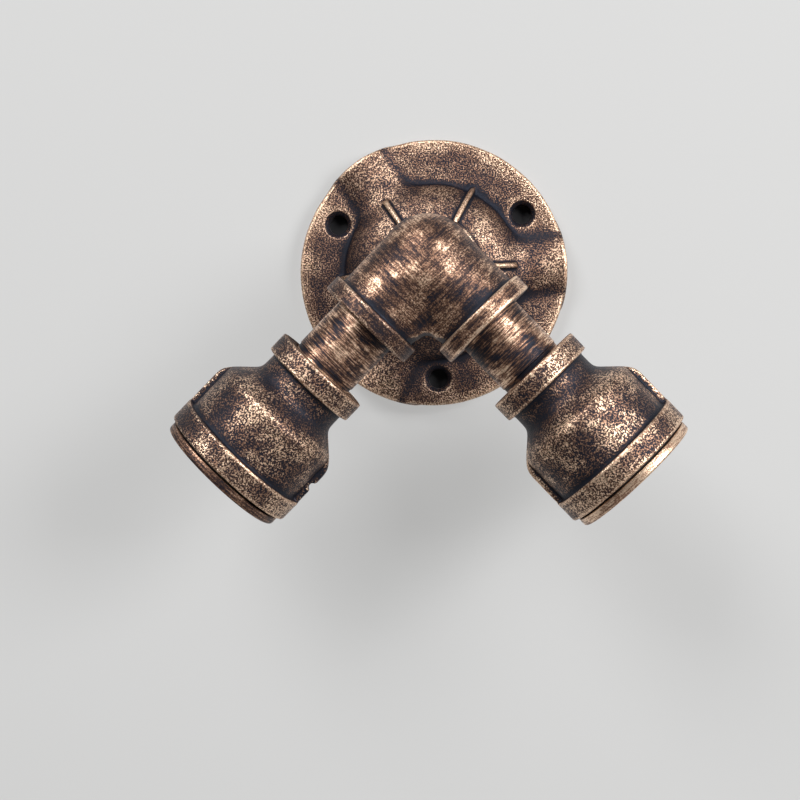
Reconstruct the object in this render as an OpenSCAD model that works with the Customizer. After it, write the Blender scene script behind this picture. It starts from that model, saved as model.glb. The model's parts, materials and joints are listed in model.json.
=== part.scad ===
// Wall lamp built from half-inch pipe fittings: a floor flange, a three-way elbow and two short
// arms, each with a bell reducer that hides a screw lamp holder.
// Millimetres, +Z up. The wall is the plane y = 0, the lamp stands out towards -Y, and the origin
// is the centre of the flange's back.

/* [Half-inch pipe] */
// Outside diameter of the pipe that the nipples are cut from
pipe_d = 21.3; // [20.6:0.1:22.5]
// Bore of the pipe
pipe_bore = 15.8; // [14.5:0.1:16.8]
// Outside diameter of the nipples' screwed ends
pipe_thread_d = 20.9; // [20.2:0.05:21]
// Radial room between a male thread and its female thread
thread_gap = 0.05; // [0.02:0.01:0.1]
// Length of a nipple's end that is screwed into a fitting
thread_grip = 10.5; // [8:0.5:11.5]
// Length of bare thread left showing beside each reducer
thread_runout = 1.6; // [0.5:0.1:3]
// Edge rounding of the pipe ends' bore
pipe_end_chamfer = 0.5; // [0.2:0.1:0.8]

/* [Wall flange] */
// Outside diameter of the flange
flange_d = 89; // [86:0.5:100]
// Thickness of the flange at its rim
flange_t = 5.5; // [4.5:0.1:7]
// Rounding of the flange's front edge
flange_round = 1; // [0.4:0.1:2]
// Diameter of the circle of screw holes
hole_circle_d = 71.2; // [70:0.1:75]
// Diameter of each screw hole
hole_d = 6.4; // [4.5:0.1:7]
// Diameter of each countersink at the front
countersink_d = 9.1; // [8:0.1:10]
// Number of screw holes, and of the raised lobes between them
hole_count = 3; // [3:1:4]
// Direction of the first screw hole, counted from +X towards +Z
hole_angle = 33; // [0:1:60]
// Diameter of the dome's foot
dome_d = 58.6; // [57:0.2:60]
// Height of the dome above the wall
dome_h = 14.8; // [14:0.1:17]
// Wall of the dome
dome_wall = 3.2; // [2.4:0.1:3.8]
// Diameter of the screwed hub
hub_d = 31.8; // [30:0.2:34]
// Height of the hub above the wall
hub_h = 22; // [20:0.2:26]
// Width of a raised lobe at the plate
lobe_w = 19; // [14:0.5:22]
// Rise of a lobe above the plate
lobe_rise = 2.6; // [1.5:0.1:3.2]
// How far a lobe reaches past the round edge
lobe_reach = 0.4; // [0:0.1:1.5]
// Direction of the first lobe and the first rib
lobe_angle = 4; // [0:1:8]
// Thickness of a rib on the dome
rib_w = 1.5; // [1:0.1:2.5]
// How far a rib stands proud of the dome
rib_rise = 1.6; // [0.8:0.1:2.5]
// Number of ribs round the dome
rib_count = 6; // [3:1:8]

/* [Elbow] */
// Half of the angle between the two arms
arm_half_angle = 44; // [42:0.5:48]
// Distance from the elbow's centre to the end of each port
port_l = 27.2; // [26.5:0.1:30]
// Diameter of the elbow's body
elbow_d = 28; // [27:0.1:29]
// Diameter of the rounded corner where the ports meet
elbow_corner_d = 29.2; // [28.4:0.1:30]
// Diameter of the collar at each port
collar_d = 32.6; // [30.5:0.1:34]
// Width of the collar at each port
collar_w = 5.3; // [4:0.1:7]
// Radius of the fillet in each crotch
crotch_r = 4; // [3:0.1:5]
// Length of nipple showing between the hub and the elbow
rear_show = 6.2; // [3:0.1:12]
// Length of nipple showing on each arm
arm_show = 18.6; // [14:0.1:40]

/* [Reducer] */
// Length of the reducer
reducer_l = 41.7; // [41:0.1:44]
// Diameter of the small collar
small_collar_d = 31.8; // [29.5:0.1:33]
// Width of the small collar
small_collar_w = 6.5; // [5:0.1:8]
// Diameter of the neck
neck_d = 27.6; // [26:0.1:28]
// Length of the straight neck past the collar
neck_l = 4.7; // [4:0.1:5.2]
// Slope of the flare against the arm
flare_angle = 47; // [46:1:50]
// Rounding at each end of the flare
flare_r = 3.2; // [2.5:0.1:4]
// Diameter of the bell's body
bell_d = 41.4; // [40.5:0.1:41.7]
// Diameter of the band at the bell's mouth
band_d = 45.6; // [45.3:0.1:47]
// Width of the band
band_w = 7; // [5:0.1:8]
// Rounding of the fittings' collars and bands
edge_round = 0.9; // [0.3:0.1:1.2]
// Width of the two grip ribs along the bell
grip_w = 3; // [2:0.1:5]
// How far the grip ribs stand proud of the bell
grip_rise = 1.9; // [0.8:0.1:2]
// Depth of the ring's thread in the bell's mouth
mouth_thread_l = 8.5; // [8:0.1:10]

/* [End ring] */
// Outside diameter of the ring's flange
ring_d = 42.6; // [40:0.1:44]
// Thickness of the ring's flange
ring_t = 2.8; // [2:0.1:4]
// Outside diameter of the ring's threaded skirt
ring_thread_d = 35.9; // [35:0.1:36.4]
// Length of the threaded skirt
ring_skirt_l = 7.7; // [6:0.1:8]
// Opening of the ring
ring_bore = 31.2; // [30.6:0.1:32]
// Thickness of the washer under the ring
washer_t = 0.6; // [0.4:0.1:1]
// Width of the washer from its hole to its rim
washer_w = 2.1; // [1.4:0.1:2.5]
// Room between faces that turn or slide past each other
face_gap = 0.05; // [0.03:0.01:0.1]

/* [Lamp holder] */
// Bore of the screw shell, at the thread's root
lamp_thread_d = 26.6; // [26.5:0.05:26.8]
// Thickness of the shell's sheet
shell_t = 0.4; // [0.3:0.05:0.5]
// Height of the screw shell
shell_l = 16.4; // [14:0.1:16.8]
// Width of the shell's inward foot
shell_foot = 2; // [1.2:0.1:2.4]
// Radial room round the shell and round the porcelain
holder_room = 0.2; // [0.1:0.05:0.3]
// Height of the porcelain from its back to its rim
porcelain_l = 25.3; // [25:0.1:25.8]
// Thickness of the porcelain floor under the centre contact
floor_t = 4; // [3.4:0.1:4.2]
// Depth of the centre well below the shell's seat
well_depth = 3.9; // [3.6:0.1:4.3]
// Diameter of the centre well
well_d = 21; // [20:0.2:22]
// Thickness of the brass straps
strap_t = 0.5; // [0.4:0.05:0.6]
// Width of the brass straps
strap_w = 5; // [4:0.1:6]
// Distance of each terminal screw from the holder's axis
terminal_x = 6.3; // [5.8:0.1:6.6]
// Diameter of the terminal screws' heads
terminal_head_d = 5; // [4.4:0.1:5.2]
// Height of the terminal screws' heads
terminal_head_h = 1.8; // [1.2:0.1:2]
// Diameter of the terminal screws' shanks
terminal_shank_d = 2.9; // [2.4:0.1:3.2]
// Thickness of the springy centre tongue
tongue_t = 0.45; // [0.3:0.05:0.6]
// Width of the centre tongue
tongue_w = 4.6; // [3.6:0.1:5.4]
// Rise of the tongue's tip above its root
tongue_rise = 1.9; // [1.5:0.1:2.2]
// Diameter of the contact pad on the tongue's tip
pad_d = 4.8; // [4:0.1:6]
// Height of the contact pad
pad_h = 0.6; // [0.4:0.1:1]

/* [Wiring] */
// Outside diameter of an insulated lead
lead_d = 2.2; // [1.8:0.1:2.3]
// Distance of the leads from the middle of their sleeve
lead_spread = 3; // [2.8:0.05:3.2]
// Outside diameter of the sleeve on the swivel axis
sleeve_d = 9.2; // [9:0.1:9.8]
// How far the sleeve stands into the elbow, counted back from its centre
sleeve_stop = 11; // [10:0.1:12]
// Thickness of the bush's flange on the rear nipple
bush_t = 1.2; // [0.8:0.1:1.4]
// Length of the bush inside the rear nipple
bush_l = 5; // [3:0.1:8]

/* [Terminal block] */
// Width of the terminal block
block_w = 15; // [14.4:0.1:15.6]
// Height of the terminal block along the barrels
block_h = 9.6; // [9.2:0.1:10]
// Depth of the terminal block
block_t = 7.6; // [7:0.1:7.8]
// Space between the block and the wall
block_clear = 1.2; // [1:0.1:1.4]
// Distance of the block's middle below the flange's centre
block_drop = 16.8; // [16.6:0.1:17]
// Spacing of the two poles
pole_pitch = 8; // [7.6:0.1:8.2]
// Outside diameter of the brass barrels
barrel_d = 4.5; // [4:0.1:4.6]
// Bore of the brass barrels
barrel_bore = 3; // [2.6:0.1:3.2]
// Diameter of the clamping screws in the block
clamp_screw_d = 3.2; // [2.6:0.1:3.4]
// Distance of the clamping screws from the block's middle
clamp_screw_z = 3; // [2.9:0.1:3.2]
// Diameter of the screw that holds the block
block_screw_d = 2.8; // [2.4:0.1:2.9]
// Diameter of that screw's head
block_head_d = 5; // [4.4:0.1:5.1]
// Height of that screw's head
block_head_h = 1.3; // [0.8:0.1:1.4]

/* [Earth terminal] */
// Distance of the earth screw above the flange's centre
earth_up = 17; // [16.5:0.1:17.5]
// Diameter of the earth screw
earth_d = 4; // [3:0.1:4.4]
// Diameter of the earth screw's head
earth_head_d = 7.2; // [6.4:0.1:8]
// Height of the earth screw's head
earth_head_h = 2.4; // [1.6:0.1:2.8]
// Diameter of the washer under the earth screw
earth_washer_d = 8.4; // [8.2:0.1:9]
// Thickness of that washer
earth_washer_t = 0.8; // [0.5:0.1:1.2]
// Thread of the earth screw inside its boss
earth_grip = 6; // [4:0.1:6.4]

/* [Hidden] */

$fn = 96;
LEFT = -1;
RIGHT = 1;
eps = 0.01;
over = 1;

// Threads
male_r = pipe_thread_d / 2;
female_r = male_r + thread_gap;

// Flange
flange_r = flange_d / 2;
dome_r = dome_d / 2;
hub_r = hub_d / 2;
dome_top_r = hub_r + 1.1;
cavity_r = dome_r - dome_wall;
cavity_h = dome_h - dome_wall;
cavity_straight = flange_t - 2;
lobe_r = (lobe_w * lobe_w / 4 + lobe_rise * lobe_rise) / (2 * lobe_rise);
countersink_r = countersink_d / 2;
rib_foot = rib_rise + 0.7;

// Places along the swivel axis, counted from the wall
standoff = hub_h + rear_show + port_l;
rear_nipple_back = cavity_h - 2;
rear_nipple_front = hub_h + rear_show + thread_grip;
sleeve_front = standoff - sleeve_stop;
sleeve_back = rear_nipple_back - bush_t;
bush_flange_d = pipe_thread_d - 1;

// Places along an arm, counted from the elbow's centre
elbow_bore_start = port_l - thread_grip - over;
reducer_a = port_l + arm_show;
collar_end_a = reducer_a + small_collar_w;
flare_a = collar_end_a + neck_l;
mouth_a = reducer_a + reducer_l;
band_a = mouth_a - band_w;
neck_r = neck_d / 2;
bell_r = bell_d / 2;
flare_run = (bell_r - neck_r - 2 * flare_r * (1 - cos(flare_angle))) / sin(flare_angle);
shoulder_a = flare_a + 2 * flare_r * sin(flare_angle) + flare_run * cos(flare_angle);
small_bore_end = reducer_a + thread_grip + 2;
cavity_d = ring_thread_d - 0.9;
bell_cavity_r = cavity_d / 2;
bell_cavity_a = small_bore_end + (bell_cavity_r - female_r) / tan(flare_angle + 3);
mouth_r = ring_thread_d / 2 + thread_gap;

// Ring
washer_a = mouth_a + face_gap;
ring_a = washer_a + washer_t + face_gap;
skirt_a = ring_a - ring_skirt_l;

// Lamp holder
seat_gap = 0.4;
holder_r = bell_cavity_r - holder_room;
holder_shoulder_a = skirt_a - seat_gap;
rim_a = mouth_a - 1.2;
holder_back_a = rim_a - porcelain_l;
holder_neck_r = ring_bore / 2 - 0.3;
floor_a = holder_back_a + floor_t;
seat_a = floor_a + well_depth;
shell_r = lamp_thread_d / 2 + shell_t;
shell_pocket_r = shell_r + holder_room / 2;
back_cone_a = bell_cavity_a + holder_room * 3;
strap_foot_a = holder_back_a - strap_t;
strap_back_x = terminal_x + terminal_head_d / 2 + strap_t;
strap_inner_x = terminal_x - terminal_head_d / 2;
slot_room = 0.15;
strap_lip = shell_foot - 0.2;
shell_strap_x = lamp_thread_d / 2 - shell_foot + 0.2;
tongue_root_x = terminal_x + 1.4;
tongue_root_a = floor_a + strap_t + 0.9;
tongue_root_d = 1.4;

// Wiring
terminal_lead_a = strap_foot_a - lead_d / 2 - 0.05;
terminal_lead_y = terminal_head_d / 2 + lead_d / 2 + 0.1;
live_angle = 20;
neutral_angle = -55;

// Terminal block
block_mid = block_clear + block_t / 2;
block_back = block_clear + block_t;
barrel_room = 0.05;
earth_boss_h = earth_head_h + earth_washer_t + 3.3;

bronze = [0.42, 0.28, 0.2];
dark_bronze = [0.2, 0.16, 0.15];
steel = [0.72, 0.73, 0.75];
brass = [0.8, 0.62, 0.3];
white_ceramic = [0.93, 0.92, 0.88];

// Points of an arc about c, from angle a0 to a1
function arc(c, r, a0, a1, n = 5) =
    [for (i = [0 : n]) let (a = a0 + (a1 - a0) * i / n) [c[0] + r * cos(a), c[1] + r * sin(a)]];

// Quarter of an oval that rises from radius r_foot at height z0 to radius r_top at height z1
function oval(r_foot, z0, r_top, z1, n = 9) =
    [for (i = [0 : n]) let (a = 90 * i / n)
        [r_top + (r_foot - r_top) * cos(a), z0 + (z1 - z0) * sin(a)]];

function unit(v) = v / norm(v);

// Route with its inner corners cut, so that a lead bends smoothly
function cut_corners(p, passes) = passes == 0 ? p : cut_corners(
    [p[0], for (i = [0 : len(p) - 2]) each [p[i] * 0.75 + p[i + 1] * 0.25, p[i] * 0.25 + p[i + 1] * 0.75],
        p[len(p) - 1]], passes - 1);

// A point of the right arm's own frame, whose z runs along the arm, in the lamp's frame
function arm_point(p) = let (t = 180 - arm_half_angle)
    [p[0] * cos(t) + p[2] * sin(t), p[1] - standoff, p[2] * cos(t) - p[0] * sin(t)];

// Frame whose z is the distance from the wall and whose y is up
module on_wall() {
    rotate([90, 0, 0]) children();
}

// Frame of one arm: z runs from the elbow's centre along the arm
module on_arm(side) {
    mirror([side == LEFT ? 1 : 0, 0, 0])
        translate([0, -standoff, 0]) rotate([0, 180 - arm_half_angle, 0]) children();
}

// Frame of the elbow's rear port: z runs from the elbow's centre to the wall
module on_rear_port() {
    translate([0, -standoff, 0]) rotate([-90, 0, 0]) children();
}

module tube_between(r_out, r_in, z0, z1) {
    difference() {
        translate([0, 0, z0]) cylinder(r = r_out, h = z1 - z0);
        translate([0, 0, z0 - over]) cylinder(r = r_in, h = z1 - z0 + 2 * over);
    }
}

// Round tube with eight sides along a route; side_way is never along the route
module lead(route, side_way) {
    sides = 8;
    last = len(route) - 1;
    rings = [for (i = [0 : last])
        let (t = unit(route[min(i + 1, last)] - route[max(i - 1, 0)]))
        let (n = unit(cross(t, side_way)), b = cross(t, n))
        for (k = [0 : sides - 1])
            route[i] + (n * cos(360 * k / sides) + b * sin(360 * k / sides)) * lead_d / 2];
    walls = [for (i = [0 : last - 1]) for (k = [0 : sides - 1])
        let (a = i * sides + k, b = i * sides + (k + 1) % sides)
        each [[a, a + sides, b + sides], [a, b + sides, b]]];
    start_cap = [for (k = [1 : sides - 2]) [0, k, k + 1]];
    end_cap = [for (k = [1 : sides - 2]) [last * sides, last * sides + k + 1, last * sides + k]];
    polyhedron(points = rings, faces = concat(walls, start_cap, end_cap));
}

module flange_body() {
    profile = concat(
        [[cavity_r, 0], [flange_r, 0]],
        arc([flange_r - flange_round, flange_t - flange_round], flange_round, 0, 90),
        oval(dome_r, flange_t, dome_top_r, dome_h),
        [[hub_r, dome_h + 1.4]],
        arc([hub_r - edge_round, hub_h - edge_round], edge_round, 0, 90),
        [[female_r, hub_h], [female_r, cavity_h]],
        [for (i = [9 : -1 : 0]) oval(cavity_r, cavity_straight, dome_top_r, cavity_h)[i]]);
    rotate_extrude() polygon(profile);
}

// Low round-backed lobe from the dome's foot to just past the rim
module flange_lobe() {
    intersection() {
        translate([cavity_r + 1, 0, flange_t + lobe_rise - lobe_r])
            rotate([0, 90, 0]) cylinder(r = lobe_r, h = flange_r);
        tube_between(flange_r + lobe_reach, cavity_r + 1.5, 0, flange_t + lobe_rise + over);
    }
}

module flange_rib() {
    outline = concat(
        [[hub_r - over, flange_t - over]],
        oval(dome_r + rib_foot, flange_t - over, dome_top_r, dome_h + rib_rise),
        [[hub_r - over, dome_h + rib_rise + 1.5]]);
    rotate([90, 0, 0]) linear_extrude(rib_w, center = true) polygon(outline);
}

module screw_hole() {
    translate([0, 0, -over]) cylinder(d = hole_d, h = flange_t + lobe_rise + 2 * over);
    translate([0, 0, flange_t - (countersink_d - hole_d) / 2])
        cylinder(r1 = hole_d / 2, r2 = countersink_r, h = (countersink_d - hole_d) / 2 + eps);
    translate([0, 0, flange_t]) cylinder(r = countersink_r, h = lobe_rise + over);
}

module wall_flange() {
    color(bronze) on_wall() difference() {
        union() {
            flange_body();
            for (i = [0 : hole_count - 1])
                rotate([0, 0, lobe_angle + 360 / hole_count * i]) flange_lobe();
            difference() {
                for (i = [0 : rib_count - 1])
                    rotate([0, 0, lobe_angle + 360 / rib_count * i]) flange_rib();
                translate([0, 0, -over]) cylinder(r = female_r + 1, h = hub_h);
                rotate_extrude() polygon(concat([[0, 0], [cavity_r, 0]],
                    oval(cavity_r, cavity_straight, dome_top_r, cavity_h), [[0, cavity_h]]));
            }
            translate([0, -block_drop, block_back])
                cylinder(d = block_head_d + 2, h = cavity_h - block_back + over);
            translate([0, earth_up, earth_boss_h])
                cylinder(d = earth_washer_d, h = cavity_h - earth_boss_h + over);
        }
        for (i = [0 : hole_count - 1])
            rotate([0, 0, hole_angle + 360 / hole_count * i]) translate([hole_circle_d / 2, 0, 0])
                screw_hole();
        translate([0, -block_drop, block_back - over])
            cylinder(d = block_screw_d + 2 * thread_gap, h = 4.2 + over);
        translate([0, earth_up, earth_boss_h - over])
            cylinder(d = earth_d + 2 * thread_gap, h = earth_grip + 0.5 + over);
    }
}

module rear_nipple() {
    color(bronze) on_wall() difference() {
        union() {
            translate([0, 0, rear_nipple_back])
                cylinder(r = male_r, h = rear_nipple_front - rear_nipple_back);
            translate([0, 0, hub_h + 0.6]) cylinder(d = pipe_d, h = rear_show - 1.2);
        }
        translate([0, 0, rear_nipple_back - over])
            cylinder(d = pipe_bore, h = rear_nipple_front - rear_nipple_back + 2 * over);
    }
}

module rear_bush() {
    color([0.12, 0.12, 0.12]) on_wall() difference() {
        union() {
            translate([0, 0, rear_nipple_back - bush_t]) cylinder(d = bush_flange_d, h = bush_t);
            translate([0, 0, rear_nipple_back - eps])
                cylinder(r = pipe_bore / 2 - thread_gap, h = bush_l);
        }
        translate([0, 0, rear_nipple_back - bush_t - over])
            cylinder(d = sleeve_d + 2 * thread_gap, h = bush_t + bush_l + 2 * over);
    }
}

module lead_sleeve() {
    color([0.85, 0.83, 0.76]) on_wall() translate([0, 0, sleeve_back])
        cylinder(d = sleeve_d, h = sleeve_front - sleeve_back);
}

// One lead from the sleeve's back end to a pole's entry, for side = 1 or -1
module rear_lead(side, angle, entry_x) {
    start = [lead_spread * cos(angle), -sleeve_back, lead_spread * sin(angle)];
    entry_z = block_h / 2 - block_drop;
    route = [
        start,
        start + [0, 2.4, 0],
        [start[0] * 0.6 + entry_x * 0.4, -2.9, start[2] - 0.8],
        [entry_x, -2.9, start[2] - 4.8],
        [entry_x, -block_mid, entry_z + 1.8],
        [entry_x, -block_mid, entry_z]];
    mirror([side == LEFT ? 1 : 0, 0, 0]) lead(cut_corners(route, 2), [1, 0, 0]);
}

module rear_leads(side) {
    apart = lead_d / 2 + 0.08;
    rear_lead(side, live_angle, pole_pitch / 2 + apart);
    rear_lead(side, neutral_angle, pole_pitch / 2 - apart);
}

module terminal_block() {
    color([0.9, 0.89, 0.84]) on_wall() translate([0, -block_drop, 0]) difference() {
        union() {
            translate([-block_w / 2, -block_h / 2, block_clear + 1.4])
                cube([block_w, block_h, block_t - 1.4]);
            for (x = [-1, 1], y = [-1, 1])
                translate([x * pole_pitch / 2, y * clamp_screw_z * 0.5, block_clear])
                    translate([-clamp_screw_d / 2 - 0.7, -clamp_screw_d / 2 - 0.9, 0])
                        cube([clamp_screw_d + 1.4, clamp_screw_d + 1.8, 2]);
        }
        for (x = [-1, 1]) {
            translate([x * pole_pitch / 2, -block_h, block_mid]) rotate([-90, 0, 0])
                cylinder(d = barrel_d + 2 * barrel_room, h = 2 * block_h);
            for (y = [-1, 1])
                translate([x * pole_pitch / 2, y * clamp_screw_z, block_clear - over])
                    cylinder(d = clamp_screw_d + 2 * barrel_room, h = block_mid - block_clear + over);
        }
        translate([0, 0, block_clear - over])
            cylinder(d = block_screw_d + 2 * barrel_room, h = block_t + 2 * over);
        translate([0, 0, block_clear - over])
            cylinder(d = block_head_d + 2 * barrel_room, h = 1.4 + over);
    }
}

module terminal_barrels() {
    color(brass) on_wall() translate([0, -block_drop, 0]) for (x = [-1, 1]) difference() {
        translate([x * pole_pitch / 2, -block_h / 2 + 0.6, block_mid]) rotate([-90, 0, 0])
            tube_between(barrel_d / 2, barrel_bore / 2, 0, block_h - 1.2);
        for (y = [-1, 1])
            translate([x * pole_pitch / 2, y * clamp_screw_z, 0])
                cylinder(d = clamp_screw_d - 0.6, h = block_mid);
    }
}

module terminal_clamp_screws() {
    color(steel) on_wall() translate([0, -block_drop, 0]) for (x = [-1, 1], y = [-1, 1])
        translate([x * pole_pitch / 2, y * clamp_screw_z, 0]) difference() {
            union() {
                translate([0, 0, block_clear + 0.3])
                    cylinder(d = clamp_screw_d, h = block_mid - barrel_d / 2 - block_clear - 0.35);
                translate([0, 0, block_clear + 0.4])
                    cylinder(d = clamp_screw_d - 0.7, h = block_mid - block_clear - 0.8);
            }
            translate([-clamp_screw_d, -0.3, block_clear + 0.3 - over])
                cube([2 * clamp_screw_d, 0.6, 0.5 + over]);
        }
}

module slotted_head(d, h) {
    difference() {
        cylinder(d = d, h = h);
        translate([-d, -0.4, -over]) cube([2 * d, 0.8, h * 0.45 + over]);
    }
}

module terminal_block_screw() {
    color(steel) on_wall() translate([0, -block_drop, block_clear + 1.4 - block_head_h]) {
        slotted_head(block_head_d, block_head_h);
        translate([0, 0, block_head_h - eps])
            cylinder(d = block_screw_d, h = block_t - 1.4 + 3.6);
    }
}

module earth_washer() {
    color(brass) on_wall() translate([0, earth_up, 0])
        tube_between(earth_washer_d / 2, earth_d / 2 + thread_gap,
            earth_boss_h - earth_washer_t, earth_boss_h);
}

module earth_screw() {
    head_z = earth_boss_h - earth_washer_t - earth_head_h;
    color(steel) on_wall() translate([0, earth_up, head_z]) {
        slotted_head(earth_head_d, earth_head_h);
        translate([0, 0, earth_head_h - eps])
            cylinder(d = earth_d, h = earth_washer_t + earth_grip);
    }
}

// Port with its collar, along z from the elbow's centre
module elbow_port() {
    r = collar_d / 2;
    start = port_l - collar_w;
    cylinder(d = elbow_d, h = start + over);
    rotate_extrude() polygon(concat(
        [[0, start], [r - edge_round, start]],
        arc([r - edge_round, start + edge_round], edge_round, -90, 0),
        arc([r - edge_round, port_l - edge_round], edge_round, 0, 90),
        [[0, port_l]]));
}

module elbow_port_bore() {
    translate([0, 0, elbow_bore_start]) cylinder(r = female_r, h = port_l);
    cylinder(r = female_r - 1.7, h = port_l);
}

// Fillet web between two ports that stand half_angle either side of -z in the xz plane
module crotch_web(half_angle) {
    fillet_z = (elbow_d / 2 + crotch_r) / sin(half_angle) - 0.4;
    side = (fillet_z - 1) * cos(half_angle);
    rotate([90, 0, 0]) linear_extrude(7, center = true) difference() {
        polygon([[0, 0], for (s = [-1, 1]) [s * side * sin(half_angle), -side * cos(half_angle)]]);
        translate([0, -fillet_z]) circle(r = crotch_r);
    }
}

module elbow() {
    color(bronze) difference() {
        union() {
            translate([0, -standoff, 0]) sphere(d = elbow_corner_d);
            for (side = [LEFT, RIGHT]) on_arm(side) elbow_port();
            on_rear_port() elbow_port();
            translate([0, -standoff, 0]) crotch_web(arm_half_angle);
            for (side = [LEFT, RIGHT])
                on_arm(side) rotate([135, 0, 0]) rotate([0, 0, 90]) crotch_web(45);
        }
        translate([0, -standoff, 0]) sphere(r = female_r - 1.1);
        for (side = [LEFT, RIGHT]) on_arm(side) elbow_port_bore();
        on_rear_port() elbow_port_bore();
    }
}

module arm_nipple(side) {
    start = port_l - thread_grip;
    end = reducer_a + thread_grip;
    color(bronze) on_arm(side) difference() {
        union() {
            translate([0, 0, start]) cylinder(r = male_r, h = end - start);
            translate([0, 0, port_l]) cylinder(d = pipe_d, h = arm_show - thread_runout);
        }
        translate([0, 0, start - over]) cylinder(d = pipe_bore, h = end - start + 2 * over);
        translate([0, 0, end - pipe_end_chamfer])
            cylinder(r1 = pipe_bore / 2, r2 = pipe_bore / 2 + pipe_end_chamfer, h = pipe_end_chamfer + eps);
    }
}

// Outside and inside of the bell reducer, as radius against place along the arm
module reducer_body() {
    collar_r = small_collar_d / 2;
    band_r = band_d / 2;
    profile = concat(
        [[female_r, reducer_a]],
        arc([collar_r - edge_round, reducer_a + edge_round], edge_round, -90, 0),
        arc([collar_r - edge_round, collar_end_a - edge_round], edge_round, 0, 90),
        arc([neck_r + flare_r, flare_a], flare_r, 180, 180 - flare_angle),
        arc([bell_r - flare_r, shoulder_a], flare_r, -flare_angle, 0),
        [[bell_r, band_a]],
        arc([band_r - edge_round, band_a + edge_round], edge_round, -90, 0),
        arc([band_r - edge_round, mouth_a - edge_round], edge_round, 0, 90),
        [[mouth_r, mouth_a], [mouth_r, mouth_a - mouth_thread_l],
            [bell_cavity_r, mouth_a - mouth_thread_l - 0.4], [bell_cavity_r, bell_cavity_a],
            [female_r, small_bore_end]]);
    rotate_extrude() polygon(profile);
}

// Rib along the bell's side for a wrench to grip
module grip_rib() {
    from = shoulder_a - flare_r * 0.6;
    outer = bell_r + grip_rise;
    rotate([90, 0, 0]) linear_extrude(grip_w, center = true) polygon([
        [bell_r - 1.2, from], [outer - 0.5, from + 2.6], [outer, from + 4],
        [outer, band_a + 0.5], [bell_r - 1.2, band_a + 0.5]]);
}

module reducer(side) {
    color(bronze) on_arm(side) {
        reducer_body();
        for (turn = [0, 180]) rotate([0, 0, turn]) grip_rib();
    }
}

module ring_washer(side) {
    color([0.1, 0.1, 0.1]) on_arm(side)
        tube_between(mouth_r + washer_w, mouth_r, washer_a, washer_a + washer_t);
}

module end_ring(side) {
    r = ring_d / 2;
    skirt_r = ring_thread_d / 2;
    bore_r = ring_bore / 2;
    end = ring_a + ring_t;
    color(dark_bronze) on_arm(side) rotate_extrude() polygon(concat(
        [[bore_r, skirt_a], [skirt_r, skirt_a], [skirt_r, ring_a]],
        arc([r - 0.4, ring_a + 0.4], 0.4, -90, 0, 3),
        arc([r - 0.8, end - 0.8], 0.8, 0, 90, 4),
        [[bore_r + 0.6, end], [bore_r, end - 0.6]]));
}

// Narrow way for a brass strap through the porcelain floor
module strap_slot(x, top) {
    translate([x - slot_room, -strap_w / 2 - slot_room, holder_back_a - over])
        cube([strap_t + 2 * slot_room, strap_w + 2 * slot_room, top - holder_back_a + over]);
}

module porcelain(side) {
    back_r = holder_r - (back_cone_a - holder_back_a) * tan(flare_angle + 3);
    color(white_ceramic) on_arm(side) difference() {
        rotate_extrude() polygon([
            [0, holder_back_a], [back_r, holder_back_a], [holder_r, back_cone_a],
            [holder_r, holder_shoulder_a], [holder_neck_r, holder_shoulder_a],
            [holder_neck_r, rim_a - 0.6], [holder_neck_r - 0.6, rim_a],
            [shell_pocket_r, rim_a], [shell_pocket_r, seat_a],
            [well_d / 2, seat_a], [well_d / 2, floor_a], [0, floor_a]]);
        strap_slot(-strap_back_x, floor_a + over);
        strap_slot(shell_strap_x, seat_a + eps);
        translate([shell_strap_x - slot_room, -strap_w / 2 - slot_room, seat_a - strap_t - slot_room])
            cube([strap_lip + 2 * slot_room, strap_w + 2 * slot_room, strap_t + slot_room + eps]);
        for (x = [-terminal_x, terminal_x]) translate([x, 0, holder_back_a - over])
            cylinder(d = terminal_shank_d + 2 * thread_gap, h = floor_t - 1.2 + over);
    }
}

module screw_shell(side) {
    color(brass) on_arm(side) rotate_extrude() polygon([
        [lamp_thread_d / 2 - shell_foot, seat_a], [shell_r, seat_a], [shell_r, seat_a + shell_l],
        [lamp_thread_d / 2, seat_a + shell_l], [lamp_thread_d / 2, seat_a + shell_t],
        [lamp_thread_d / 2 - shell_foot, seat_a + shell_t]]);
}

// Strap bent from sheet: outline in the arm's xz plane, with a hole for its screw
module bent_strap(outline, screw_x) {
    difference() {
        rotate([90, 0, 0]) linear_extrude(strap_w, center = true) polygon(outline);
        translate([screw_x, 0, strap_foot_a - over])
            cylinder(d = terminal_shank_d + 2 * thread_gap, h = strap_t + 2 * over);
    }
}

module centre_strap(side) {
    x0 = -strap_back_x;
    top = floor_a + strap_t;
    color(brass) on_arm(side) bent_strap([
        [x0, strap_foot_a], [-strap_inner_x, strap_foot_a], [-strap_inner_x, holder_back_a],
        [x0 + strap_t, holder_back_a], [x0 + strap_t, floor_a], [x0 + 4, floor_a],
        [x0 + 4, top], [x0, top]], -terminal_x);
}

module shell_strap(side) {
    x0 = shell_strap_x;
    color(brass) on_arm(side) bent_strap([
        [strap_inner_x, strap_foot_a], [x0 + strap_t, strap_foot_a],
        [x0 + strap_t, seat_a - strap_t], [x0 + strap_lip, seat_a - strap_t], [x0 + strap_lip, seat_a],
        [x0, seat_a], [x0, holder_back_a], [strap_inner_x, holder_back_a]], terminal_x);
}

module strap_screws(side) {
    color(steel) on_arm(side) for (x = [-terminal_x, terminal_x])
        translate([x, 0, strap_foot_a - terminal_head_h]) {
            slotted_head(terminal_head_d, terminal_head_h);
            translate([0, 0, terminal_head_h - eps])
                cylinder(d = terminal_shank_d, h = strap_t + floor_t - 1.6);
        }
}

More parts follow.
